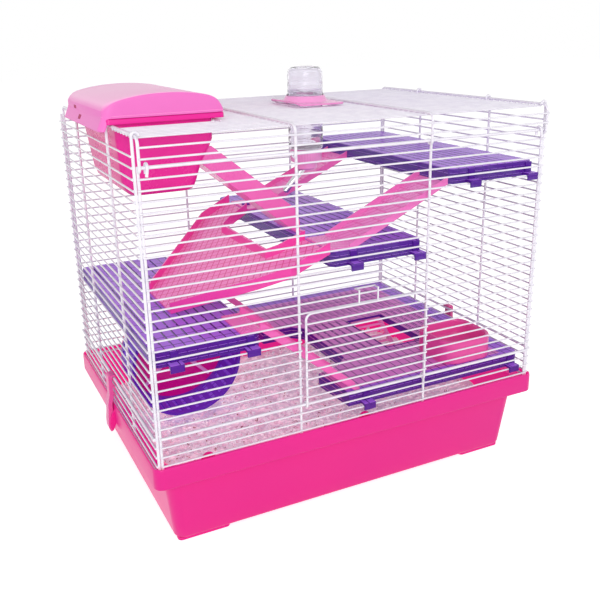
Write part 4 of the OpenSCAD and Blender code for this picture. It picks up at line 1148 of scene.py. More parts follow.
@dataclass
class Bedding:
    """Wood shavings: a humped layer with loose curled flakes on it.

    Each lump is a height, a fineness and a part of the noise.
    """

    pan: TrayPan
    depth: float = 62.0
    front_rise: float = 22.0
    rise_y: float = -70.0
    rise_x: float = 150.0
    run_y: float = 60.0
    run_x: float = 90.0
    hump: float = 2.2
    level_z: float = 60.0
    cells: tuple[int, int] = (150, 104)
    lumps: tuple[tuple[float, float, float], ...] = ((1.6, 0.16, 3.0), (1.0, 0.4, 9.0))
    flakes: int = 7800
    flake_rows: int = 4
    flake_long: Pair = (3.0, 9.0)
    flake_wide: Pair = (1.6, 4.6)
    flake_curl: Pair = (-1.0, 2.2)
    flake_lift: Pair = (-0.6, 2.4)
    pale_share: float = 0.8
    wood_share: float = 0.925
    seed: int = 11

    def half(self, outer: float, z: float) -> float:
        """Give how far the bedding reaches at a height."""
        pan = self.pan
        return outer - pan.step - pan.wall - 0.7 - pan.draft * (pan.skirt_z - z) / (pan.skirt_z - pan.foot_z)

    def top(self, x: float, y: float) -> float:
        """Give the height of the bedding's surface.

        Args:
            x: Place across.
            y: Place from front to back.

        Returns:
            The height.
        """
        f = max(0.0, min(1.0, (self.rise_y - y) / self.run_y))
        g = max(0.0, min(1.0, (self.rise_x - x) / self.run_x))
        wave = math.sin(math.radians(x * 5.1 + y * 2.3)) * math.cos(math.radians(y * 6.3 - x * 1.7))
        return (self.depth + self.front_rise * f * f * (3 - 2 * f) * g + self.hump * wave
                + 0.5 * self.hump * math.sin(math.radians(x * 11 - y * 9)))

    def layer(self) -> Piece:
        """Make the humped layer.

        Returns:
            The layer.
        """
        shape = Shape()
        n, m = self.cells
        half_x = self.half(self.pan.half_x, self.level_z)
        half_y = self.half(self.pan.half_y, self.level_z)
        for j in range(m + 1):
            for i in range(n + 1):
                u, v = -1 + 2 * i / n, -1 + 2 * j / m
                c = 1 - 0.07 * u ** 4 * v ** 4
                x, y = u * c * half_x, v * c * half_y
                rough = sum(high * noise.noise(Vector((x * fine, y * fine, part)))
                            for high, fine, part in self.lumps)
                shape.points.append((x, y, self.top(x, y) - 1.2 + rough))
        w = n + 1
        for j in range(m):
            for i in range(n):
                a = j * w + i
                shape.faces.append((a, a + 1, a + w + 1, a + w))
        edge = [*range(n), *(j * w + n for j in range(m)), *(m * w + n - i for i in range(n))]
        edge += [(m - j) * w for j in range(m)]
        low_z = self.pan.foot_z + self.pan.wall + 0.1
        shrink = self.half(self.pan.half_x, low_z + 12) / half_x - 0.045
        start, count = len(shape.points), len(edge)
        shape.points.extend([(x * shrink, y * shrink, low_z) for x, y, _ in (shape.points[k] for k in edge)])
        for k in range(count):
            q = (k + 1) % count
            shape.faces.append((edge[k], start + k, start + q, edge[q]))
        shape.faces.append(tuple(start + count - 1 - k for k in range(count)))
        layer = shape.make("bedding_layer", angle=70)
        self.tone(layer, [0.25 + 0.5 * abs(noise.noise(Vector(p.co) * 60)) for p in layer.data.vertices])
        return layer

    def tone(self, piece: Piece, values: Sequence[float]) -> None:
        """Write one tone per point into a piece."""
        held = piece.data.attributes.new("tone", "FLOAT", "POINT")
        held.data.foreach_set("value", list(values))

    def draw_flake(self, dice: random.Random, x: float, y: float) -> Flake:
        """Draw a flake: most are pale, some pink, and a few are small bits of bark with tone 1.

        Args:
            dice: The source of random numbers.
            x: Place across.
            y: Place from front to back.

        Returns:
            The flake.
        """
        spans = (self.flake_long, self.flake_wide, self.flake_curl)
        long, wide, curl = (dice.uniform(*span) for span in spans)
        heading = Matrix.Rotation(dice.uniform(0, 2 * math.pi), 3, "Z")
        lean = Matrix.Rotation(dice.gauss(0, 0.3), 3, "X") @ Matrix.Rotation(dice.gauss(0, 0.28), 3, "Y")
        middle = Vector((x, y, self.top(x, y) + dice.uniform(*self.flake_lift)))
        dark = dice.random()
        if dark < self.pale_share:
            tone = dice.uniform(0.0, 0.55)
        elif dark < self.wood_share:
            tone = dice.uniform(0.5, 0.85)
        else:
            tone, long, wide = 1.0, long * 0.6, wide * 0.5
        return Flake(middle, heading @ lean, long, wide, curl, tone)

    def loose(self) -> Piece:
        """Scatter the curled flakes.

        Returns:
            All flakes as one piece.
        """
        dice = random.Random(self.seed)
        points: list[Point] = []
        faces: list[tuple[int, ...]] = []
        tones: list[float] = []
        half_x = self.half(self.pan.half_x, self.level_z)
        half_y = self.half(self.pan.half_y, self.level_z)
        for _ in range(self.flakes):
            x = dice.uniform(-1, 1) * (half_x - 6)
            y = dice.uniform(-1, 1) * (half_y - 6)
            if abs(x) > half_x - 16 and abs(y) > half_y - 16:
                continue
            flake = self.draw_flake(dice, x, y)
            edges = flake.edges(dice, self.flake_rows)
            first = len(points)
            faces += [(a, a + 1, a + 3, a + 2) for a in range(first, first + 2 * self.flake_rows, 2)]
            points += edges
            tones += [flake.tone] * len(edges)
        mesh = bpy.data.meshes.new("bedding_flakes")
        mesh.from_pydata(points, [], faces)
        for face in mesh.polygons:
            face.use_smooth = True
        piece = Workshop.stand("bedding_flakes", mesh)
        self.tone(piece, tones)
        return piece

    def build(self) -> None:
        """Make the bedding and hand it over."""
        Workshop.hand_over(self.layer(), Palette.BEDDING, "cage", "bedding")
        Workshop.hand_over(self.loose(), Palette.BEDDING, "cage", "bedding")


@dataclass
class WireTop:
    """The welded panels, the weld metal at their crossings and the wires' bent ends."""

    half_x: float = 243.0
    first_z: float = 111.2
    pitch: float = 10.63
    wires: int = 30
    gap: int = 3
    roof_z: float = 448.27
    panels: tuple[str, ...] = ("front_grille", "back_grille", "left_grille", "right_grille", "roof_grille",
                               "roof_hooks")
    roof_x: Span = (-239.7, -82.8, 80.2, 239.7)
    front_x: Span = (-239.7, -79.5, 83.5, 239.7)
    side_y: Span = (-172.5, -75.0, 75.0, 172.5)
    thin_y: float = 174.4
    side_x: float = 244.9
    bead: tuple[float, float, float] = (2.1, 0.9, 1.5)
    roof_bead: tuple[float, float, float] = (2.0, 1.5, 0.9)
    spread: Pair = (0.9, 1.1)
    roof_wires: int = 32
    roof_pitch: float = 10.6
    roof_first_y: float = -167.0
    nest_x: float = -120.0
    nest_y: Pair = (-90.0, 84.0)
    wire_r: float = 1.5
    corner_x: float = 239.7
    curl_r: float = 3.3
    curl_feet: Outline = ((-172.5, 16.0), (-75.0, 12.0))
    hook: tuple[float, float, float] = (232.5, -175.9, 419.47)
    hook_r: float = 3.75

    def welds(self) -> Piece:
        """Put a small bead in each crossing.

        Returns:
            All beads as one piece.
        """
        dice = random.Random(5)
        shape = Shape()
        long, flat, high = self.bead
        for n in range(self.wires):
            z = self.first_z + n * self.pitch
            for x in self.front_x:
                if n < self.wires - 1 and n != self.gap:
                    shape.bead((x, -self.thin_y, z), (long * dice.uniform(*self.spread), flat, high))
            for x in self.roof_x:
                shape.bead((x, self.thin_y, z), self.bead)
            for y in self.side_y:
                for side in (-1, 1):
                    if n != self.gap:
                        size = (flat, long * dice.uniform(*self.spread), high)
                        shape.bead((side * self.side_x, y, z), size)
        for y in (self.roof_first_y + k * self.roof_pitch for k in range(self.roof_wires)):
            for x in self.roof_x:
                if x > self.nest_x or not self.nest_y[0] <= y <= self.nest_y[1]:
                    shape.bead((x, y, self.roof_z - 1.3), self.roof_bead)
        return shape.make("weld_beads", angle=180)

    def curls(self) -> Piece:
        """Bend the ends of the corner wires over the roof and the front bar.

        Returns:
            All bent ends as one piece.
        """
        shape = Shape()
        for side in (-1, 1):
            x, z, bend = side * self.corner_x, self.roof_z, self.curl_r
            for y, foot in self.curl_feet:
                path = [(side * self.half_x, y, z - foot), (side * self.half_x, y, z - 3)]
                path += [(x + side * bend * math.cos(a), y, z + bend * math.sin(a))
                         for a in arc_angles(-9, 200, 14)]
                shape.sweep(path, self.wire_r)
            x, y, z = self.hook
            x, bend = side * x, self.hook_r
            path = [(x + side * 1.2, y - bend, z - 8), (x + side * 0.4, y - bend, z - 3)]
            path += [(x, y - bend * math.cos(a), z + bend * math.sin(a)) for a in arc_angles(0, 181, 15)]
            shape.sweep(path + [(x, y + bend, z - 6)], self.wire_r)
        return shape.make("wire_curls", angle=60)

    def build(self) -> None:
        """Dress the panels and add the beads."""
        Workshop.redress(Palette.WIRE, *self.panels)
        Workshop.hand_over(self.welds(), Palette.WIRE, "cage")
        Workshop.hand_over(self.curls(), Palette.WIRE, "cage")


@dataclass
class FrontDoor:
    """The wire door with its catch."""

    nodes: tuple[str, ...] = ("door_grille", "door_catch")
    side_x: Pair = (-74.5, 80.0)
    weld_y: float = -180.3
    first_z: float = 153.72
    pitch: float = 10.63
    wires: int = 9
    bead: tuple[float, float, float] = (1.9, 0.9, 1.4)

    def build(self) -> None:
        """Dress the door and put a bead in each crossing."""
        Workshop.redress(Palette.WIRE, *self.nodes)
        shape = Shape()
        for n in range(self.wires):
            for x in self.side_x:
                shape.bead((x, self.weld_y, self.first_z + n * self.pitch), self.bead)
        Workshop.hand_over(shape.make("door_beads", angle=180), Palette.WIRE, "front_door")


@dataclass(frozen=True)
class Slots:
    """A field of slots that run front to back."""

    x0: float
    x1: float
    y0: float = -150.0
    y1: float = 155.0
    rows: int = 6


def plain_outline(x0: float, x1: float) -> Outline:
    """Give a shelf's outline with its corners cut off.

    Args:
        x0: Left side.
        x1: Right side.

    Returns:
        Eight points, anticlockwise.
    """
    y, cut = 168.0, 5.0
    return ((x0 + cut, -y), (x1 - cut, -y), (x1, -y + cut), (x1, y - cut),
            (x1 - cut, y), (x0 + cut, y), (x0, y - cut), (x0, -y + cut))


@dataclass(frozen=True)
class Deck:
    """One shelf: its outline, the wire it hangs on, its clips, slots and finish."""

    name: str
    wire: int
    outline: Outline
    clips: Pair
    slots: tuple[Slots, ...]
    hole: Optional[Span] = None
    finish: Finish = Palette.PURPLE


@dataclass
class Shelving:
    """The three shelves and the low platform, in tinted plastic."""

    decks: tuple[Deck, ...] = (
        Deck("upper_shelf", 24, plain_outline(114.5, 234.0), (136.0, 219.0), (Slots(126.5, 207.0),)),
        Deck("middle_shelf", 17, plain_outline(-37.0, 79.0), (-18.0, 63.0), (Slots(-7.0, 62.0),)),
        Deck("lower_shelf", 10, plain_outline(-239.0, -123.0), (-225.0, -142.0), (Slots(-227.0, -140.0),)),
        Deck("platform", 1,
             ((-16, -168), (228, -168), (233, -163), (233, 163), (228, 168), (-26, 168), (-26, 50), (18, 50),
              (30, 38), (30, -76), (12, -94), (-21, -104)), (-0.5, 212.0),
             (Slots(36, 85, -72, 40, 3), Slots(34, 199, 62, 144, 2), Slots(162, 219, -67, 40, 3)),
             (95.0, 152.0, -75.0, 30.0), Palette.PURPLE_WARM))
    first_z: float = 111.2
    pitch: float = 10.63
    height: float = 17.5
    plate: float = 2.2
    lip: float = 2.0
    slot_w: float = 1.4
    slot_pitch: float = 11.0
    slot_gap: float = 2.4
    clip_w: float = 15.0
    clip_t: float = 3.0
    leg_t: float = 2.0
    wire_y: float = 175.3
    wire_gap: float = 1.3
    root_y: float = 166.0
    web_y: Pair = (167.5, 169.6)
    web_x: Pair = (3.0, 12.0)
    hole_lip: Outline = ((2.0, -8), (2.0, 0.6), (1.6, 1), (0.4, 1), (0.0, 0.6), (0.0, -8))

    def moulding(self, deck: Deck, top: float) -> Piece:
        """Make the plate with its lips, its two moulded steps and its slots.

        Args:
            deck: The shelf.
            top: Height of its plate.

        Returns:
            The moulding.
        """
        low, lip, plate = top - self.height, self.lip, top - self.plate
        levels = [(lip + 0.8, plate), (lip + 0.2, plate - 0.2), (lip, plate - 0.8), (lip, low + 0.3),
                  (lip - 0.3, low), (0.4, low), (0.1, low + 0.15), (0, low + 0.5), (0, low + 2.6),
                  (-0.5, low + 2.9), (-0.6, low + 3.2), (-0.5, low + 3.6), (0, low + 3.9), (0, top - 6.4),
                  (-0.5, top - 6.1), (-0.6, top - 5.7), (-0.5, top - 5.3), (0, top - 5.0), (0, top - 1.1),
                  (0.1, top - 0.6), (0.4, top - 0.25), (0.8, top - 0.06), (1.3, top)]
        shape = Shape()
        shape.loft([[(x, y, z) for x, y in draw_in(deck.outline, inset)] for inset, z in levels])
        tool = Shape()
        for slots in deck.slots:
            step = (slots.y1 - slots.y0) / slots.rows
            for i in range(int((slots.x1 - self.slot_w - slots.x0) / self.slot_pitch) + 1):
                x = slots.x0 + i * self.slot_pitch
                for y in (slots.y0 + j * step for j in range(slots.rows)):
                    tool.box((x, y, top - 4), (x + self.slot_w, y + step - self.slot_gap, top + 1))
        if deck.hole:
            x0, x1, y0, y1 = deck.hole
            tool.box((x0 - 1, y0 - 1, top - 5), (x1 + 1, y1 + 1, top + 2))
        return Workshop.cut(shape.make(deck.name + "_moulding", angle=50), tool.make("slots"))

    def fittings(self, deck: Deck, top: float) -> Piece:
        """Make the clips over the wire, and the lip round the hole.

        Args:
            deck: The shelf.
            top: Height of its plate.

        Returns:
            The fittings as one piece.
        """
        wire_z = self.first_z + deck.wire * self.pitch
        over, tip = wire_z + self.wire_gap, wire_z - 3.6
        leg = self.wire_y + self.wire_gap
        back = leg + self.leg_t
        hook = [(self.root_y, over), (leg, over), (leg, tip), (leg + 1.2, wire_z - 4.4), (back, tip),
                (back, over + self.clip_t), (self.root_y, over + self.clip_t)]
        shape = Shape()
        for x in deck.clips:
            for side in (-1, 1):
                shape.prism([(side * u, v) for u, v in hook], x, x + self.clip_w, along_x)
                (x0, x1), (y0, y1) = self.web_x, sorted(side * y for y in self.web_y)
                shape.box((x + x0, y0, over + 1), (x + x1, y1, over + self.height - 2.5))
        if deck.hole:
            x0, x1, y0, y1 = deck.hole
            shape.loft([rounded_ring((x0 - g, x1 + g, y0 - g, y1 + g), 1.0 + g, top + h, 4)
                        for g, h in self.hole_lip], True)
        return shape.make(deck.name + "_clips", bevel=0.35)

    def build(self) -> None:
        """Make each shelf and its fittings."""
        for deck in self.decks:
            top = self.first_z + deck.wire * self.pitch + self.height
            for piece in (self.moulding(deck, top), self.fittings(deck, top)):
                Workshop.hand_over(piece, deck.finish, "cage", deck.name)


@dataclass
class Ramps:
    """Every ramp, the ladder under the platform and the ramp's peg."""

    finishes: dict[str, Finish] = field(default_factory=lambda: {
        "nest_ramp": Palette.RAMP, "upper_back_ramp": Palette.RAMP, "upper_front_ramp": Palette.RAMP_HATCH,
        "fan_ramp": Palette.RAMP_DIAMOND, "lower_back_ramp": Palette.RAMP, "lower_front_ramp": Palette.RAMP,
        "platform_ladder": Palette.LADDER, "ramp_peg": Palette.PURPLE})

    def build(self) -> None:
        """Make each ramp with soft edges."""
        for name, finish in self.finishes.items():
            Workshop.hand_over(Workshop.cast(name, 0.45), finish, "cage", name)


@dataclass
class NestBox:
    """The nest tub that hangs in the roof and its arched lid.

    The tub's tables are heights and insets, the lid's stops are insets and drops of its
    ends, and lip and latch are outlines from its lower left edge.
    """

    x1: float = -121.6
    y0: float = -92.0
    y1: float = 88.0
    flange_x0: float = -246.6
    flange_z: float = 450.07
    flange_h: float = 5.6
    depth: float = 76.0
    wall: float = 2.0
    tub_x0: float = -236.5
    tub_x1: float = -131.6
    tub_y0: float = -86.0
    tub_y1: float = 80.0
    door_y: Pair = (-79.3, -21.7)
    door_z: Pair = (27.4, 61.4)
    left_in: Outline = ((0, 18), (1, 14), (2.4, 11), (8, 6), (17, 3.5), (81.6, 0))
    right_in: Outline = ((0, 30), (3, 24), (10, 20.7), (27.6, 14.6), (45, 4), (54, 0))
    front_in: Outline = ((0, 11), (0.8, 8), (2.4, 5.6), (5, 3.4), (12, 1.5), (81.6, 0))
    back_in: Outline = ((0, 38), (1.5, 34), (5, 30), (67.6, 0))
    corners: Outline = ((0, 6), (12, 9), (81.6, 10))
    levels: tuple[float, ...] = (60, 54, 49, 45, 36, 27.6, 21, 17, 12, 8, 5, 3, 1.6, 0.8, 0.3, 0)
    lid_x0: float = -249.3
    lid_rise: float = 23.0
    shoulder: float = 0.62
    crown: float = 0.38
    crown_power: float = 2.2
    right_drop: Pair = (0.75, 14)
    left_drop: Pair = (0.5, 18)
    lid_wall: float = 2.2
    corner_r: float = 8.5
    lip_r: float = 7.5
    pin_x: float = -119.1
    pin_z: float = 458.67
    ear_y: Pair = (-66.0, 54.0)
    ear_t: float = 8.0
    knuckle_r: float = 3.4
    knuckle_y: Pair = (-50.0, 28.0)
    knuckle_t: float = 18.0
    lid_stops: Outline = ((0.0, 2.8), (0.0, 1.4), (0.12, 0.75), (0.4, 0.3), (0.9, 0.07), (1.6, 0.0),
                          (3.2, 0.0), (5.5, 0.0), (8.5, 0.0))
    lip: Outline = ((2, 2), (0.1, 2), (-0.6, -1), (-5.4, -11.6), (-5.2, -12.2), (-4.2, -12.6), (-3.6, -12.2),
                    (1, -2), (2, 0))
    latch: Outline = ((-1.75, -3), (-3.8, -7.6), (-2.6, -7.6), (-0.6, -3))

    @property
    def base(self) -> float:
        """Give the height of the lid's lower edge."""
        return self.flange_z + self.flange_h + 0.3

    def tub_ring(self, z: float, shrink: float = 0.0) -> list[Point]:
        """Give the tub's outline at a height.

        Args:
            z: The height.
            shrink: How far the outline is drawn in.

        Returns:
            Points of the outline.
        """
        h = z - (self.flange_z - self.depth)
        left = self.tub_x0 + read_off(self.left_in, h)
        right = self.tub_x1 - read_off(self.right_in, h)
        front = self.tub_y0 + read_off(self.front_in, h)
        back = self.tub_y1 - read_off(self.back_in, h)
        radius = read_off(self.corners, h) - shrink
        return rounded_ring((left + shrink, right - shrink, front + shrink, back - shrink), radius, z, 8)

    def rim_ring(self, inset: float, z: float) -> list[Point]:
        """Give the outline of the tub's rim at a height, drawn in."""
        span = (self.flange_x0 + inset, self.x1 - inset, self.y0 + inset, self.y1 - inset)
        return rounded_ring(span, max(1.0, 4 - inset), z, 8)

    def tub(self) -> Piece:
        """Make the tub with its hollow rim and its way out.

        Returns:
            The tub.
        """
        low = self.flange_z - self.depth
        top = self.flange_z + self.flange_h
        wall = self.wall
        heights = [top - 1.2, top - 8, top - 14]
        heights += [low + h for h in self.levels]
        rings = [self.tub_ring(low + wall + 0.2, wall + 2)]
        rings += [self.tub_ring(z, wall) for z in reversed(heights) if z > low + 2]
        rings += [self.tub_ring(top - 0.3, wall - 0.9), self.tub_ring(top, wall - 1.6)]
        rings += [self.rim_ring(inset, z) for inset, z in (
            (1.2, top), (0.4, top - 0.4), (0.0, top - 1.2), (0.0, self.flange_z + 0.3), (0.3, self.flange_z),
            (wall, self.flange_z), (wall, top - wall))]
        rings.append(self.tub_ring(top - wall, -0.6))
        rings += [self.tub_ring(z) for z in heights if z < self.flange_z + 1]
        shape = Shape()
        shape.loft(rings)
        tool = Shape()
        (y0, y1), (z0, z1) = self.door_y, self.door_z
        tool.box((self.tub_x1 - 28, y0, low + z0), (self.tub_x1 + 12, y1, low + z1))
        return Workshop.cut(shape.make("nest_tub_shell", angle=45), tool.make("way_out"))

    def ears(self) -> Piece:
        """Make the two ears that hold the lid's pin.

        Returns:
            The ears as one piece.
        """
        shape = Shape()
        r = self.knuckle_r
        for y in self.ear_y:
            outline = [(self.x1 - 1, self.flange_z + 0.5), (self.pin_x + r, self.flange_z + 0.5)]
            outline += half_round((self.pin_x, self.pin_z), r, r)
            outline += [(self.pin_x - r, self.flange_z + 5.6), (self.x1 - 1, self.flange_z + 5.6)]
            shape.prism(outline, y, y + self.ear_t)
        return shape.make("nest_tub_ears", bevel=0.4)

    def bow(self, inset: float, radius: float) -> float:
        """Give how far a rounded end lies back at a distance from its tip."""
        return radius - math.sqrt(max(0.0, radius ** 2 - (radius - inset) ** 2))

    def arch(self, drop: float, left: float, steps: int = 40) -> list[Pair]:
        """Give the lid's cross section from right to left.

        Args:
            drop: How far it is drawn in.
            left: How far its left end is drawn in besides.
            steps: Faces over the arch.

        Returns:
            Places along X and Z.
        """
        right = self.x1 - 1.4
        start = self.lid_x0 + left
        middle = (start + right) / 2
        half = (right - start) / 2
        section = [(right - drop * 0.3, self.base)]
        for i in range(steps + 1):
            u = math.sin(math.pi / 2 * (1 - 2 * i / steps))
            z = self.lid_rise * (self.shoulder + self.crown * (1 - abs(u) ** self.crown_power))
            for (share, power), side in ((self.right_drop, u), (self.left_drop, -u)):
                z *= 1 - share * max(0.0, side) ** power
            top = max(self.base + 0.05 * (1 - abs(u)), self.base + z - drop)
            section.append((middle + u * (half - drop), top))
        section.append((start + drop * 0.4, self.base))
        return section

    def lid(self) -> Piece:
        """Make the arched lid as a shell with rounded ends.

        Returns:
            The lid.
        """
        ends = [(self.y0 + inset, inset, drop) for inset, drop in self.lid_stops]
        ends += [(self.y1 - inset, inset, drop) for inset, drop in reversed(self.lid_stops)]
        shape = Shape()
        shape.loft([[(x, y, z) for x, z in self.arch(drop, self.bow(inset, self.corner_r))]
                    for y, inset, drop in ends])
        lid = shape.make("nest_lid_shell", angle=180)
        work = bmesh.new()
        work.from_mesh(lid.data)
        level = (self.base + 0.01) * MM
        under = [f for f in work.faces if all(v.co.z <= level for v in f.verts)]
        bmesh.ops.delete(work, geom=under, context="FACES")
        work.to_mesh(lid.data)
        work.free()
        thick = lid.modifiers.new("thick", "SOLIDIFY")
        thick.thickness = self.lid_wall * MM
        thick.offset = -1
        return Workshop.settle(lid, 45)

    def lid_trim(self) -> Piece:
        """Make the lid's end skirt, foot bead, knuckles and top border.

        Returns:
            The trim as one piece.
        """
        base, left, r = self.base, self.lid_x0, self.lip_r
        shape = Shape()
        lip = [(left + u, base + v) for u, v in self.lip]
        shape.prism(lip, self.y0 + 7, self.y1 - 7)
        for near, far in ((self.y0 + 1, self.y0 + r), (self.y1 - 1, self.y1 - r)):
            shape.loft([[(u + self.bow(r * t, r), near + (far - near) * t, v) for u, v in lip]
                        for t in (0.03, 0.12, 0.3, 0.55, 0.8, 1.0)])
        for y in (self.y0 - 0.6, self.y1 - 1):
            shape.box((left + 9, y, base), (self.x1 - 2, y + 1.6, base + 2.4))
        for y in self.knuckle_y:
            outline = [(self.x1 - 2.4, self.pin_z - 1.6), (self.pin_x, self.pin_z - self.knuckle_r)]
            outline += half_round((self.pin_x, self.pin_z), self.knuckle_r, self.knuckle_r, start=-0.5)
            outline += [(self.x1 - 2.4, self.pin_z + 2)]
            shape.prism(outline, y, y + self.knuckle_t)
        return shape.make("nest_lid_trim", bevel=0.35)

    def latch_slot_shade(self) -> Piece:
        """Make two dark pieces on the lid's left side, painted shade standing in for its two latch slots.

        Returns:
            The slots' painted shade as one piece.
        """
        left, base = self.lid_x0, self.base
        shape = Shape()
        shape.box((left - 0.25, 34.0, base + 1.2), (left + 0.4, 45.0, base + 4.6))
        shape.prism([(left + u, base + v) for u, v in self.latch], 1.0, 12.0)
        return shape.make("nest_lid_latch_slot_shade", bevel=0.1)

    def build(self) -> None:
        """Make tub, ears, lid and trim, and dress the pin."""
        Workshop.hand_over(self.tub(), Palette.TUB, "cage", "nest_tub")
        Workshop.hand_over(self.ears(), Palette.TUB, "cage", "nest_tub")
        Workshop.hand_over(self.lid(), Palette.LID, "nest_lid", "nest_lid")
        Workshop.hand_over(self.lid_trim(), Palette.LID, "nest_lid", "nest_lid")
        Workshop.hand_over(self.latch_slot_shade(), Palette.LATCH_SLOT_SHADE, "nest_lid", "nest_lid")
        Workshop.redress(Palette.TRAY, "lid_pin")


@dataclass
class Wheel:
    """The exercise wheel on its bracket.

    Rings and hub are radii and depths, the taper is radii and half widths. The sides
    are the corners of a cell of the tread, as steps in turn, depth and radius.
    """

    x: float = -155.0
    z: float = 145.0
    front_y: float = -12.0
    back_y: float = 42.0
    radius: float = 70.0
    bore: float = 4.06
    wall: float = 4.0
    border: float = 7.0
    slots: int = 36
    slot_share: float = 0.42
    rings: Outline = ((14, 0), (15, 0.5), (40, 0.5), (41, 0), (43, 0), (44, 0.5), (62, 0.5), (63, 0), (70, 0),
                      (70, 3))
    hub: Outline = ((7.4, -7), (9, -5.8), (9, 0))
    spoke_taper: Outline = ((8.0, 3.4), (30.0, 2.6), (60.0, 2.2), (61.5, 1.4))
    spoke: Outline = ((-1, 0.1), (-0.9, 2.2), (-0.5, 3), (0.5, 3), (0.9, 2.2), (1, 0.1))
    sides: tuple[tuple[tuple[int, int, int], ...], ...] = (
        ((0, 0, 0), (0, 1, 0), (1, 1, 0), (1, 0, 0)), ((0, 0, 1), (1, 0, 1), (1, 1, 1), (0, 1, 1)),
        ((0, 0, 0), (1, 0, 0), (1, 0, 1), (0, 0, 1)), ((0, 1, 0), (0, 1, 1), (1, 1, 1), (1, 1, 0)),
        ((0, 0, 0), (0, 0, 1), (0, 1, 1), (0, 1, 0)), ((1, 0, 0), (1, 1, 0), (1, 1, 1), (1, 0, 1)))

    def at(self, angle: float, r: float, y: float) -> Point:
        """Give a point by angle, radius and depth."""
        return (self.x + r * math.sin(angle), y, self.z + r * math.cos(angle))

    def tread(self) -> Piece:
        """Make the slotted running surface from cells, each a block with the sides that show.

        Returns:
            The tread.
        """
        shape = Shape()
        full = math.pi / self.slots
        half = full * self.slot_share
        turns = []
        for i in range(self.slots):
            middle = 2 * math.pi * i / self.slots
            turns += [middle - half, middle + half, middle + (half + full) / 2]
        ys = [self.front_y, self.front_y + self.border, self.back_y - self.border, self.back_y]
        n = len(turns)
        index: dict[tuple[int, int, int], int] = {}

        def solid(i: int, j: int) -> bool:
            """Tell whether a cell is not one of the slots."""
            return not (i % 3 == 0 and j == 1)

        def spot(i: int, j: int, k: int) -> int:
            """Give the number of a point, making it when it is new."""
            key = (i % n, j, k)
            if key not in index:
                index[key] = len(shape.points)
                shape.points.append(self.at(turns[i % n], self.radius - self.wall * k, ys[j]))
            return index[key]

        for i in range(n):
            for j in range(3):
                if not solid(i, j):
                    continue
                shown = (True, True, j == 0 or not solid(i, j - 1), j == 2 or not solid(i, j + 1),
                         j == 1 and not solid((i - 1) % n, j), j == 1 and not solid((i + 1) % n, j))
                for side, corners in zip(shown, self.sides):
                    if side:
                        shape.faces.append(tuple(spot(i + a, j + b, k) for a, b, k in corners))
        return shape.make("wheel_tread_ring", bevel=0.4, angle=40)

    def lathe(self, shape: Shape, profile: Sequence[Pair], count: int = 96) -> Shape:
        """Turn a closed profile of radius and depth about the axle.

        Args:
            shape: Where the form is added.
            profile: Radius and depth, round the section.
            count: Faces round the axle.

        Returns:
            The same shape.
        """
        shape.loft([[self.at(a, r, y) for r, y in profile] for a in round_angles(count)], True)
        return shape

    def disc(self) -> Piece:
        """Make the back disc with its raised rings.

        Returns:
            The disc.
        """
        rows = ((self.bore, 0), *self.rings, (self.bore, 3))
        profile = [(r, self.back_y + d) for r, d in rows]
        return self.lathe(Shape(), profile).make("wheel_back_disc", bevel=0.25, angle=35)

    def spokes(self) -> Piece:
        """Make the hub and its four spokes.

        Returns:
            The hub with spokes.
        """
        y = self.back_y
        rows = ((self.bore, -7), *self.hub, (self.bore, 0))
        shape = self.lathe(Shape(), [(r, y + d) for r, d in rows], 64)
        for k in range(4):
            turn = math.pi / 4 + math.pi / 2 * k
            along = Vector((math.sin(turn), 0, math.cos(turn)))
            side = Vector((math.cos(turn), 0, -math.sin(turn)))
            rings = []
            for r, half in self.spoke_taper:
                middle = Vector((self.x, 0, self.z)) + along * r
                rings.append([tuple(middle + side * (half * s) + Vector((0, y - d, 0)))
                              for s, d in self.spoke])
            shape.loft(rings)
        return shape.make("wheel_hub", bevel=0.2, angle=40)

    def web(self) -> Piece:
        """Make the thin clear web between the tread's ribs.

        Returns:
            The web.
        """
        low, high = self.front_y + 5, self.back_y - 5
        r = self.radius - 1.6
        profile = [(r, low), (r, high), (r - 0.6, high), (r - 0.6, low)]
        return self.lathe(Shape(), profile).make("wheel_tread_web", angle=35)

    def build(self) -> None:
        """Make the wheel's pieces and dress its bracket."""
        Workshop.hand_over(self.tread(), Palette.WHEEL_RIB, "wheel", "wheel_tread")
        Workshop.hand_over(self.web(), Palette.WHEEL_PURPLE, "wheel", "wheel_tread")
        Workshop.hand_over(self.disc(), Palette.WHEEL_MAGENTA, "wheel", "wheel_disc")
        Workshop.hand_over(self.spokes(), Palette.WHEEL_PALE, "wheel", "wheel_spokes")
        Workshop.redress(Palette.TRAY, "wheel_axle")
        Workshop.hand_over(Workshop.cast("wheel_bracket", 0.5), Palette.TRAY, "cage", "wheel_bracket")


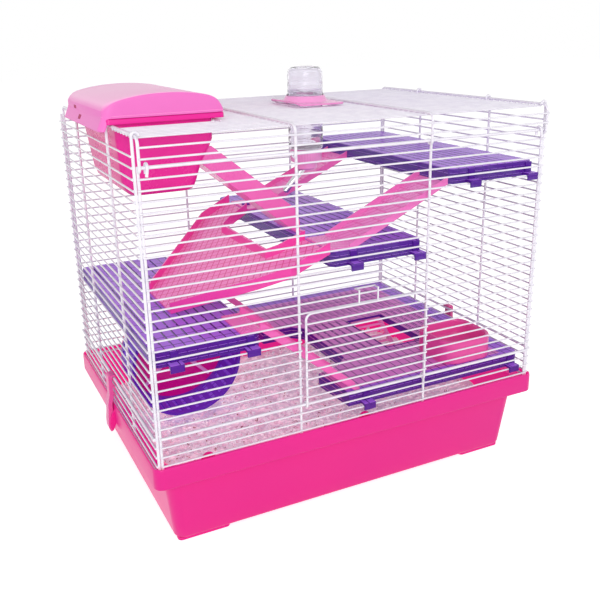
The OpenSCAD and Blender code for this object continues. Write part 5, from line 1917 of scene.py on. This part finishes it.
@dataclass
class WaterBottle:
    """The ribbed bottle, its cap, its steel spout and the collar in the roof.

    The tables are radii and heights; those of the cap also say how far its grip stands out.
    """

    x: float = 27.0
    y: float = 15.0
    radius: float = 22.0
    cap_z: float = 392.27
    length: float = 100.0
    ribs: int = 9
    rib_steps: int = 88
    rib_dip: float = 0.45
    foot: Outline = ((0.4, 0), (19.0, 0), (21.0, 0.8), (22.0, 2.4))
    crown: Outline = ((22.0, -9), (21.7, -6.4), (20.6, -4), (18.8, -2), (16.4, -0.6), (13.6, 0), (11.0, -0.5),
                      (9.0, -1.2), (6.0, -1.5), (5.0, -0.9), (3.4, -0.7), (0.4, -0.6), (0.4, -2.4),
                      (5.4, -2.8), (9.0, -2.7), (12.8, -1.8), (16.2, -2.0), (18.6, -3.6), (19.9, -6.6),
                      (20.1, -12))
    inner_foot: Outline = ((20.0, 4), (19.0, 1.3), (0.4, 1.2))
    rest: Outline = ((21.2, 0), (22.8, 0), (23.3, 0.5), (23.3, 1.3), (22.8, 1.8), (21.2, 1.8))
    cap_rows: tuple[tuple[float, float, float], ...] = (
        (0.4, -26, 0), (11, -26, 0), (13, -25.2, 0), (14, -24, 0), (14, -17, 0), (14.6, -16.2, 0),
        (18, -16, 0), (19.4, -15.4, 0), (19.6, -14, 0.4), (19.6, -2, 0.4), (19.6, -0.6, 0), (19, 0, 0),
        (0.4, 0, 0))
    cap_faces: int = 144
    collar_z: float = 449.07
    collar_h: float = 9.0
    collar_half: Pair = (32.0, 41.0)
    collar_middle: Pair = (-1.0, -6.0)
    turn_up: float = 3.2
    turn_up_x: float = 26.0
    count: int = 72

    def circle(self, r: float, z: float) -> list[Point]:
        """Give a level circle about the bottle's axis."""
        return [(self.x + r * math.cos(a), self.y + r * math.sin(a), z) for a in round_angles(self.count)]

    def lathe(self, profile: Sequence[Pair], name: str, angle: float) -> Piece:
        """Turn a closed profile about the bottle's axis.

        Args:
            profile: Radius and height, round the section.
            name: The piece's name.
            angle: Edges sharper than this stay sharp.

        Returns:
            The turned piece.
        """
        shape = Shape()
        shape.loft([self.circle(r, z) for r, z in profile], True)
        return shape.make(name, angle=angle)

    def bottle(self) -> Piece:
        """Make the bottle's wall, outside and inside.

        Returns:
            The bottle.
        """
        low, top = self.cap_z, self.cap_z + self.length
        profile = [(r, low + h) for r, h in self.foot]
        for i in range(self.rib_steps + 1):
            phase = (i / self.rib_steps * self.ribs) % 1.0
            dip = self.rib_dip * 0.5 * (1 - math.cos(2 * math.pi * phase))
            profile.append((self.radius - dip, low + 3 + (self.length - 15) * i / self.rib_steps))
        profile += [(r, top + h) for r, h in self.crown]
        profile += [(r, low + h) for r, h in self.inner_foot]
        return self.lathe(profile, "bottle_wall", 60)

    def rib(self) -> Piece:
        """Make the rib that rests on the collar.

        Returns:
            The rib.
        """
        z = self.collar_z + self.collar_h + 0.3
        return self.lathe([(r, z + h) for r, h in self.rest], "bottle_rib", 50)

    def cap(self) -> Piece:
        """Make the cap with its grip ribs.

        Returns:
            The cap.
        """
        rings = []
        for r, h, rib in self.cap_rows:
            reach = [r + (rib if k % 4 < 2 else 0) for k in range(self.cap_faces)]
            rings.append([(self.x + out * math.cos(a), self.y + out * math.sin(a), self.cap_z + h)
                          for out, a in zip(reach, round_angles(self.cap_faces))])
        shape = Shape()
        shape.loft(rings)
        return shape.make("bottle_cap_moulding", angle=35)

    def plate(self, inset: float, h: float) -> list[Point]:
        """Give the collar plate's outline, matched to the circle's points.

        Args:
            inset: How far it is drawn in.
            h: Height above the collar's foot.

        Returns:
            The outline, with its left end turned up.
        """
        points = []
        hx, hy = (half - inset for half in self.collar_half)
        r = 7 - min(inset, 3)
        for a in round_angles(self.count):
            scale = min(hx / max(1e-6, abs(math.cos(a))), hy / max(1e-6, abs(math.sin(a))))
            px, py = scale * math.cos(a), scale * math.sin(a)
            qx, qy = abs(px) - (hx - r), abs(py) - (hy - r)
            away = math.hypot(qx, qy)
            if qx > 0 and qy > 0 and away > r:
                px = math.copysign(hx - r + qx * r / away, px)
                py = math.copysign(hy - r + qy * r / away, py)
            lift = min(self.turn_up, 8.0 * max(0.0, (-px - self.turn_up_x) / 10) ** 2)
            points.append((self.x + self.collar_middle[0] + px, self.y + self.collar_middle[1] + py,
                           self.collar_z + h + lift))
        return points

    def collar(self) -> Piece:
        """Make the flanged collar with its upturned ends.

        Returns:
            The collar.
        """
        bore, height = self.radius + 0.3, self.collar_h
        rings = [self.circle(bore, self.collar_z)]
        rings += [self.plate(inset, h) for inset, h in ((0.4, 0.0), (0.0, 0.5), (0.0, 1.5), (0.5, 2.0))]
        sleeve = ((6.4, 2.0), (5.5, 2.6), (1.9, height - 0.8), (1.2, height - 0.2), (0.6, height),
                  (0.0, height - 0.4))
        rings += [self.circle(bore + out, self.collar_z + h) for out, h in sleeve]
        shape = Shape()
        shape.loft(rings, True)
        return shape.make("bottle_collar_moulding", angle=40)

    def build(self) -> None:
        """Make the bottle's pieces and dress the spout."""
        Workshop.hand_over(self.bottle(), Palette.CLEAR, "bottle", "bottle_body")
        Workshop.hand_over(self.rib(), Palette.CLEAR, "bottle", "bottle_body")
        Workshop.hand_over(self.cap(), Palette.COLLAR, "bottle", "bottle_cap")
        Workshop.hand_over(self.collar(), Palette.COLLAR, "cage", "bottle_collar")
        Workshop.redress(Palette.STEEL, "bottle_spout", "spout_ball")


@dataclass
class Bowl:
    """The heavy square bowl with round corners and a thick rim."""

    x: float = 160.0
    y: float = -129.5
    z: float = 139.63
    half: float = 36.5
    corner: float = 20.0
    height: float = 30.0
    wall: float = 5.0

    def ring(self, inset: float, z: float) -> list[Point]:
        """Give the outline at a height, drawn in.

        Args:
            inset: How far it is drawn in.
            z: Height above the bowl's foot.

        Returns:
            The outline.
        """
        reach = self.half - inset
        span = (self.x - reach, self.x + reach, self.y - reach, self.y + reach)
        return rounded_ring(span, max(3.0, self.corner - inset), self.z + z, 12)

    def build(self) -> None:
        """Make the bowl and hand it over."""
        h, wall = self.height, self.wall
        floor = wall + 2
        levels = [(9.0, 0.0), (2.4, 0.0), (1.2, 0.3), (0.4, 1.0), (0.0, 2.4), (0.0, 10.0), (0.0, h - 4.0),
                  (0.1, h - 2.6), (0.5, h - 1.2), (1.2, h - 0.35), (2.1, h), (3.2, h - 0.1), (4.2, h - 0.7),
                  (4.8, h - 1.8), (wall, h - 3.2), (wall, floor + 8), (wall + 0.4, floor + 5),
                  (wall + 1.8, floor + 2.4), (wall + 4.2, floor + 0.7), (wall + 7.5, floor),
                  (wall + 12, floor)]
        shape = Shape()
        shape.loft([self.ring(inset, z) for inset, z in levels])
        Workshop.hand_over(shape.make("food_bowl_moulding", angle=70), Palette.BOWL, "food_bowl", "food_bowl")


@dataclass
class SideClips:
    """The two straps that lock the wire top to the tray."""

    nodes: tuple[str, ...] = ("side_clip_left", "side_clip_right")

    def build(self) -> None:
        """Make each clip with soft edges."""
        for name in self.nodes:
            Workshop.hand_over(Workshop.cast(name, 0.7, 3), Palette.CLIP, name, name)


@dataclass(frozen=True)
class Lamp:
    """One soft square lamp; its place and size are in metres."""

    name: str
    place: Point
    size: float
    power: float


@dataclass
class Studio:
    """Floor, sky and lamps."""

    floor_half: float = 9.0
    floor_glow: float = 0.66
    floor_tone: float = 0.8
    sky_light: float = 0.5
    lamps: tuple[Lamp, ...] = (Lamp("key", (-0.9, -2.5, 1.3), 1.6, 40),
                               Lamp("side", (-2.2, 0.3, 1.0), 1.4, 8),
                               Lamp("fill", (1.8, -1.4, 1.0), 1.6, 6))
    aim: tuple[float, float, float] = (0.0, 0.0, 0.2)

    def seen(self, graph: Graph) -> Socket:
        """Give 1 for what the camera sees, straight, mirrored or through glass.

        Args:
            graph: The material's or the world's graph.

        Returns:
            The mask.
        """
        path = graph.add("LightPath").outputs
        other = graph.plus(path["Is Glossy Ray"], path["Is Transmission Ray"])
        return graph.maths("MINIMUM", graph.plus(path["Is Camera Ray"], other), 1.0)

    def floor(self) -> None:
        """Lay the pale floor; it shows near white and keeps the shadow."""
        mesh = bpy.data.meshes.new("floor")
        r = self.floor_half
        mesh.from_pydata([(-r, -r, 0), (r, -r, 0), (r, r, 0), (-r, r, 0)], [], [(0, 1, 2, 3)])
        floor = Workshop.stand("floor", mesh)
        made = bpy.data.materials.new("floor")
        graph = Graph.blank(made)
        matt = graph.fill(graph.add("BsdfDiffuse"), {"Color": (*[self.floor_tone] * 3, 1)})
        glow = graph.fill(graph.add("Emission"), {"Strength": graph.times(self.seen(graph), self.floor_glow)})
        both = graph.fill(graph.add("AddShader"), {0: matt.outputs[0], 1: glow.outputs[0]})
        graph.fill(graph.add("OutputMaterial"), {"Surface": both.outputs[0]})
        mesh.materials.append(made)

    def sky(self) -> None:
        """Make the white surroundings."""
        world = bpy.data.worlds.new("sky")
        graph = Graph.blank(world)
        strength = graph.plus(graph.times(self.seen(graph), 1.0 - self.sky_light), self.sky_light)
        back = graph.fill(graph.add("Background"), {"Color": (1, 1, 1, 1), "Strength": strength})
        graph.fill(graph.add("OutputWorld"), {"Surface": back.outputs[0]})
        bpy.context.scene.world = world

    def build(self) -> None:
        """Set up floor, sky, lamps and the view's colours."""
        self.floor()
        self.sky()
        for lamp in self.lamps:
            light = bpy.data.lights.new(lamp.name, "AREA")
            light.size = lamp.size
            light.energy = lamp.power
            held = Workshop.stand(lamp.name, light)
            held.location = lamp.place
            towards = Vector(self.aim) - Vector(lamp.place)
            held.rotation_euler = towards.to_track_quat("-Z", "Y").to_euler()
        bpy.context.scene.view_settings.view_transform = "Standard"
        LOG.info("studio ready")


@dataclass
class PhotoCamera:
    """The camera at the photograph's viewing angle."""

    place: tuple[float, float, float] = (-419.117, -865.326, 536.479)
    yaw: float = 0.451
    pitch: float = -0.318
    roll: float = -0.022
    focal_px: float = 775.588
    centre_px: Pair = (294.817, 283.912)
    frame_px: float = 600.0
    sensor: float = 36.0

    def build(self) -> None:
        """Make the camera and look through it."""
        level = math.cos(self.pitch)
        ahead = Vector((math.sin(self.yaw) * level, math.cos(self.yaw) * level, math.sin(self.pitch)))
        right = Vector((math.cos(self.yaw), -math.sin(self.yaw), 0))
        up = right.cross(ahead)
        turned = right * math.cos(self.roll) + up * math.sin(self.roll)
        above = -right * math.sin(self.roll) + up * math.cos(self.roll)
        data = bpy.data.cameras.new("camera")
        data.sensor_width = self.sensor
        data.lens = self.sensor * self.focal_px / self.frame_px
        data.shift_x = (self.frame_px / 2 - self.centre_px[0]) / self.frame_px
        data.shift_y = -(self.frame_px / 2 - self.centre_px[1]) / self.frame_px
        data.clip_start = 0.01
        held = Workshop.stand("camera", data)
        rows = [(turned[i], above[i], -ahead[i], self.place[i] * MM) for i in range(3)]
        held.matrix_world = Matrix((*rows, (0, 0, 0, 1)))
        bpy.context.scene.camera = held
        LOG.info("camera ready")


def main() -> None:
    """Build the cage piece by piece."""
    logging.basicConfig(level=logging.INFO, format="%(message)s")
    Workshop.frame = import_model()
    pan = TrayPan()
    parts = (PhotoCamera(), Studio(), pan, Bedding(pan), WireTop(), FrontDoor(), Shelving(), Ramps(),
             NestBox(), Wheel(), WaterBottle(), Bowl(), SideClips())
    for part in parts:
        LOG.info("building %s", type(part).__name__)
        part.build()
    bpy.context.view_layer.update()


if __name__ == "__main__":
    main()
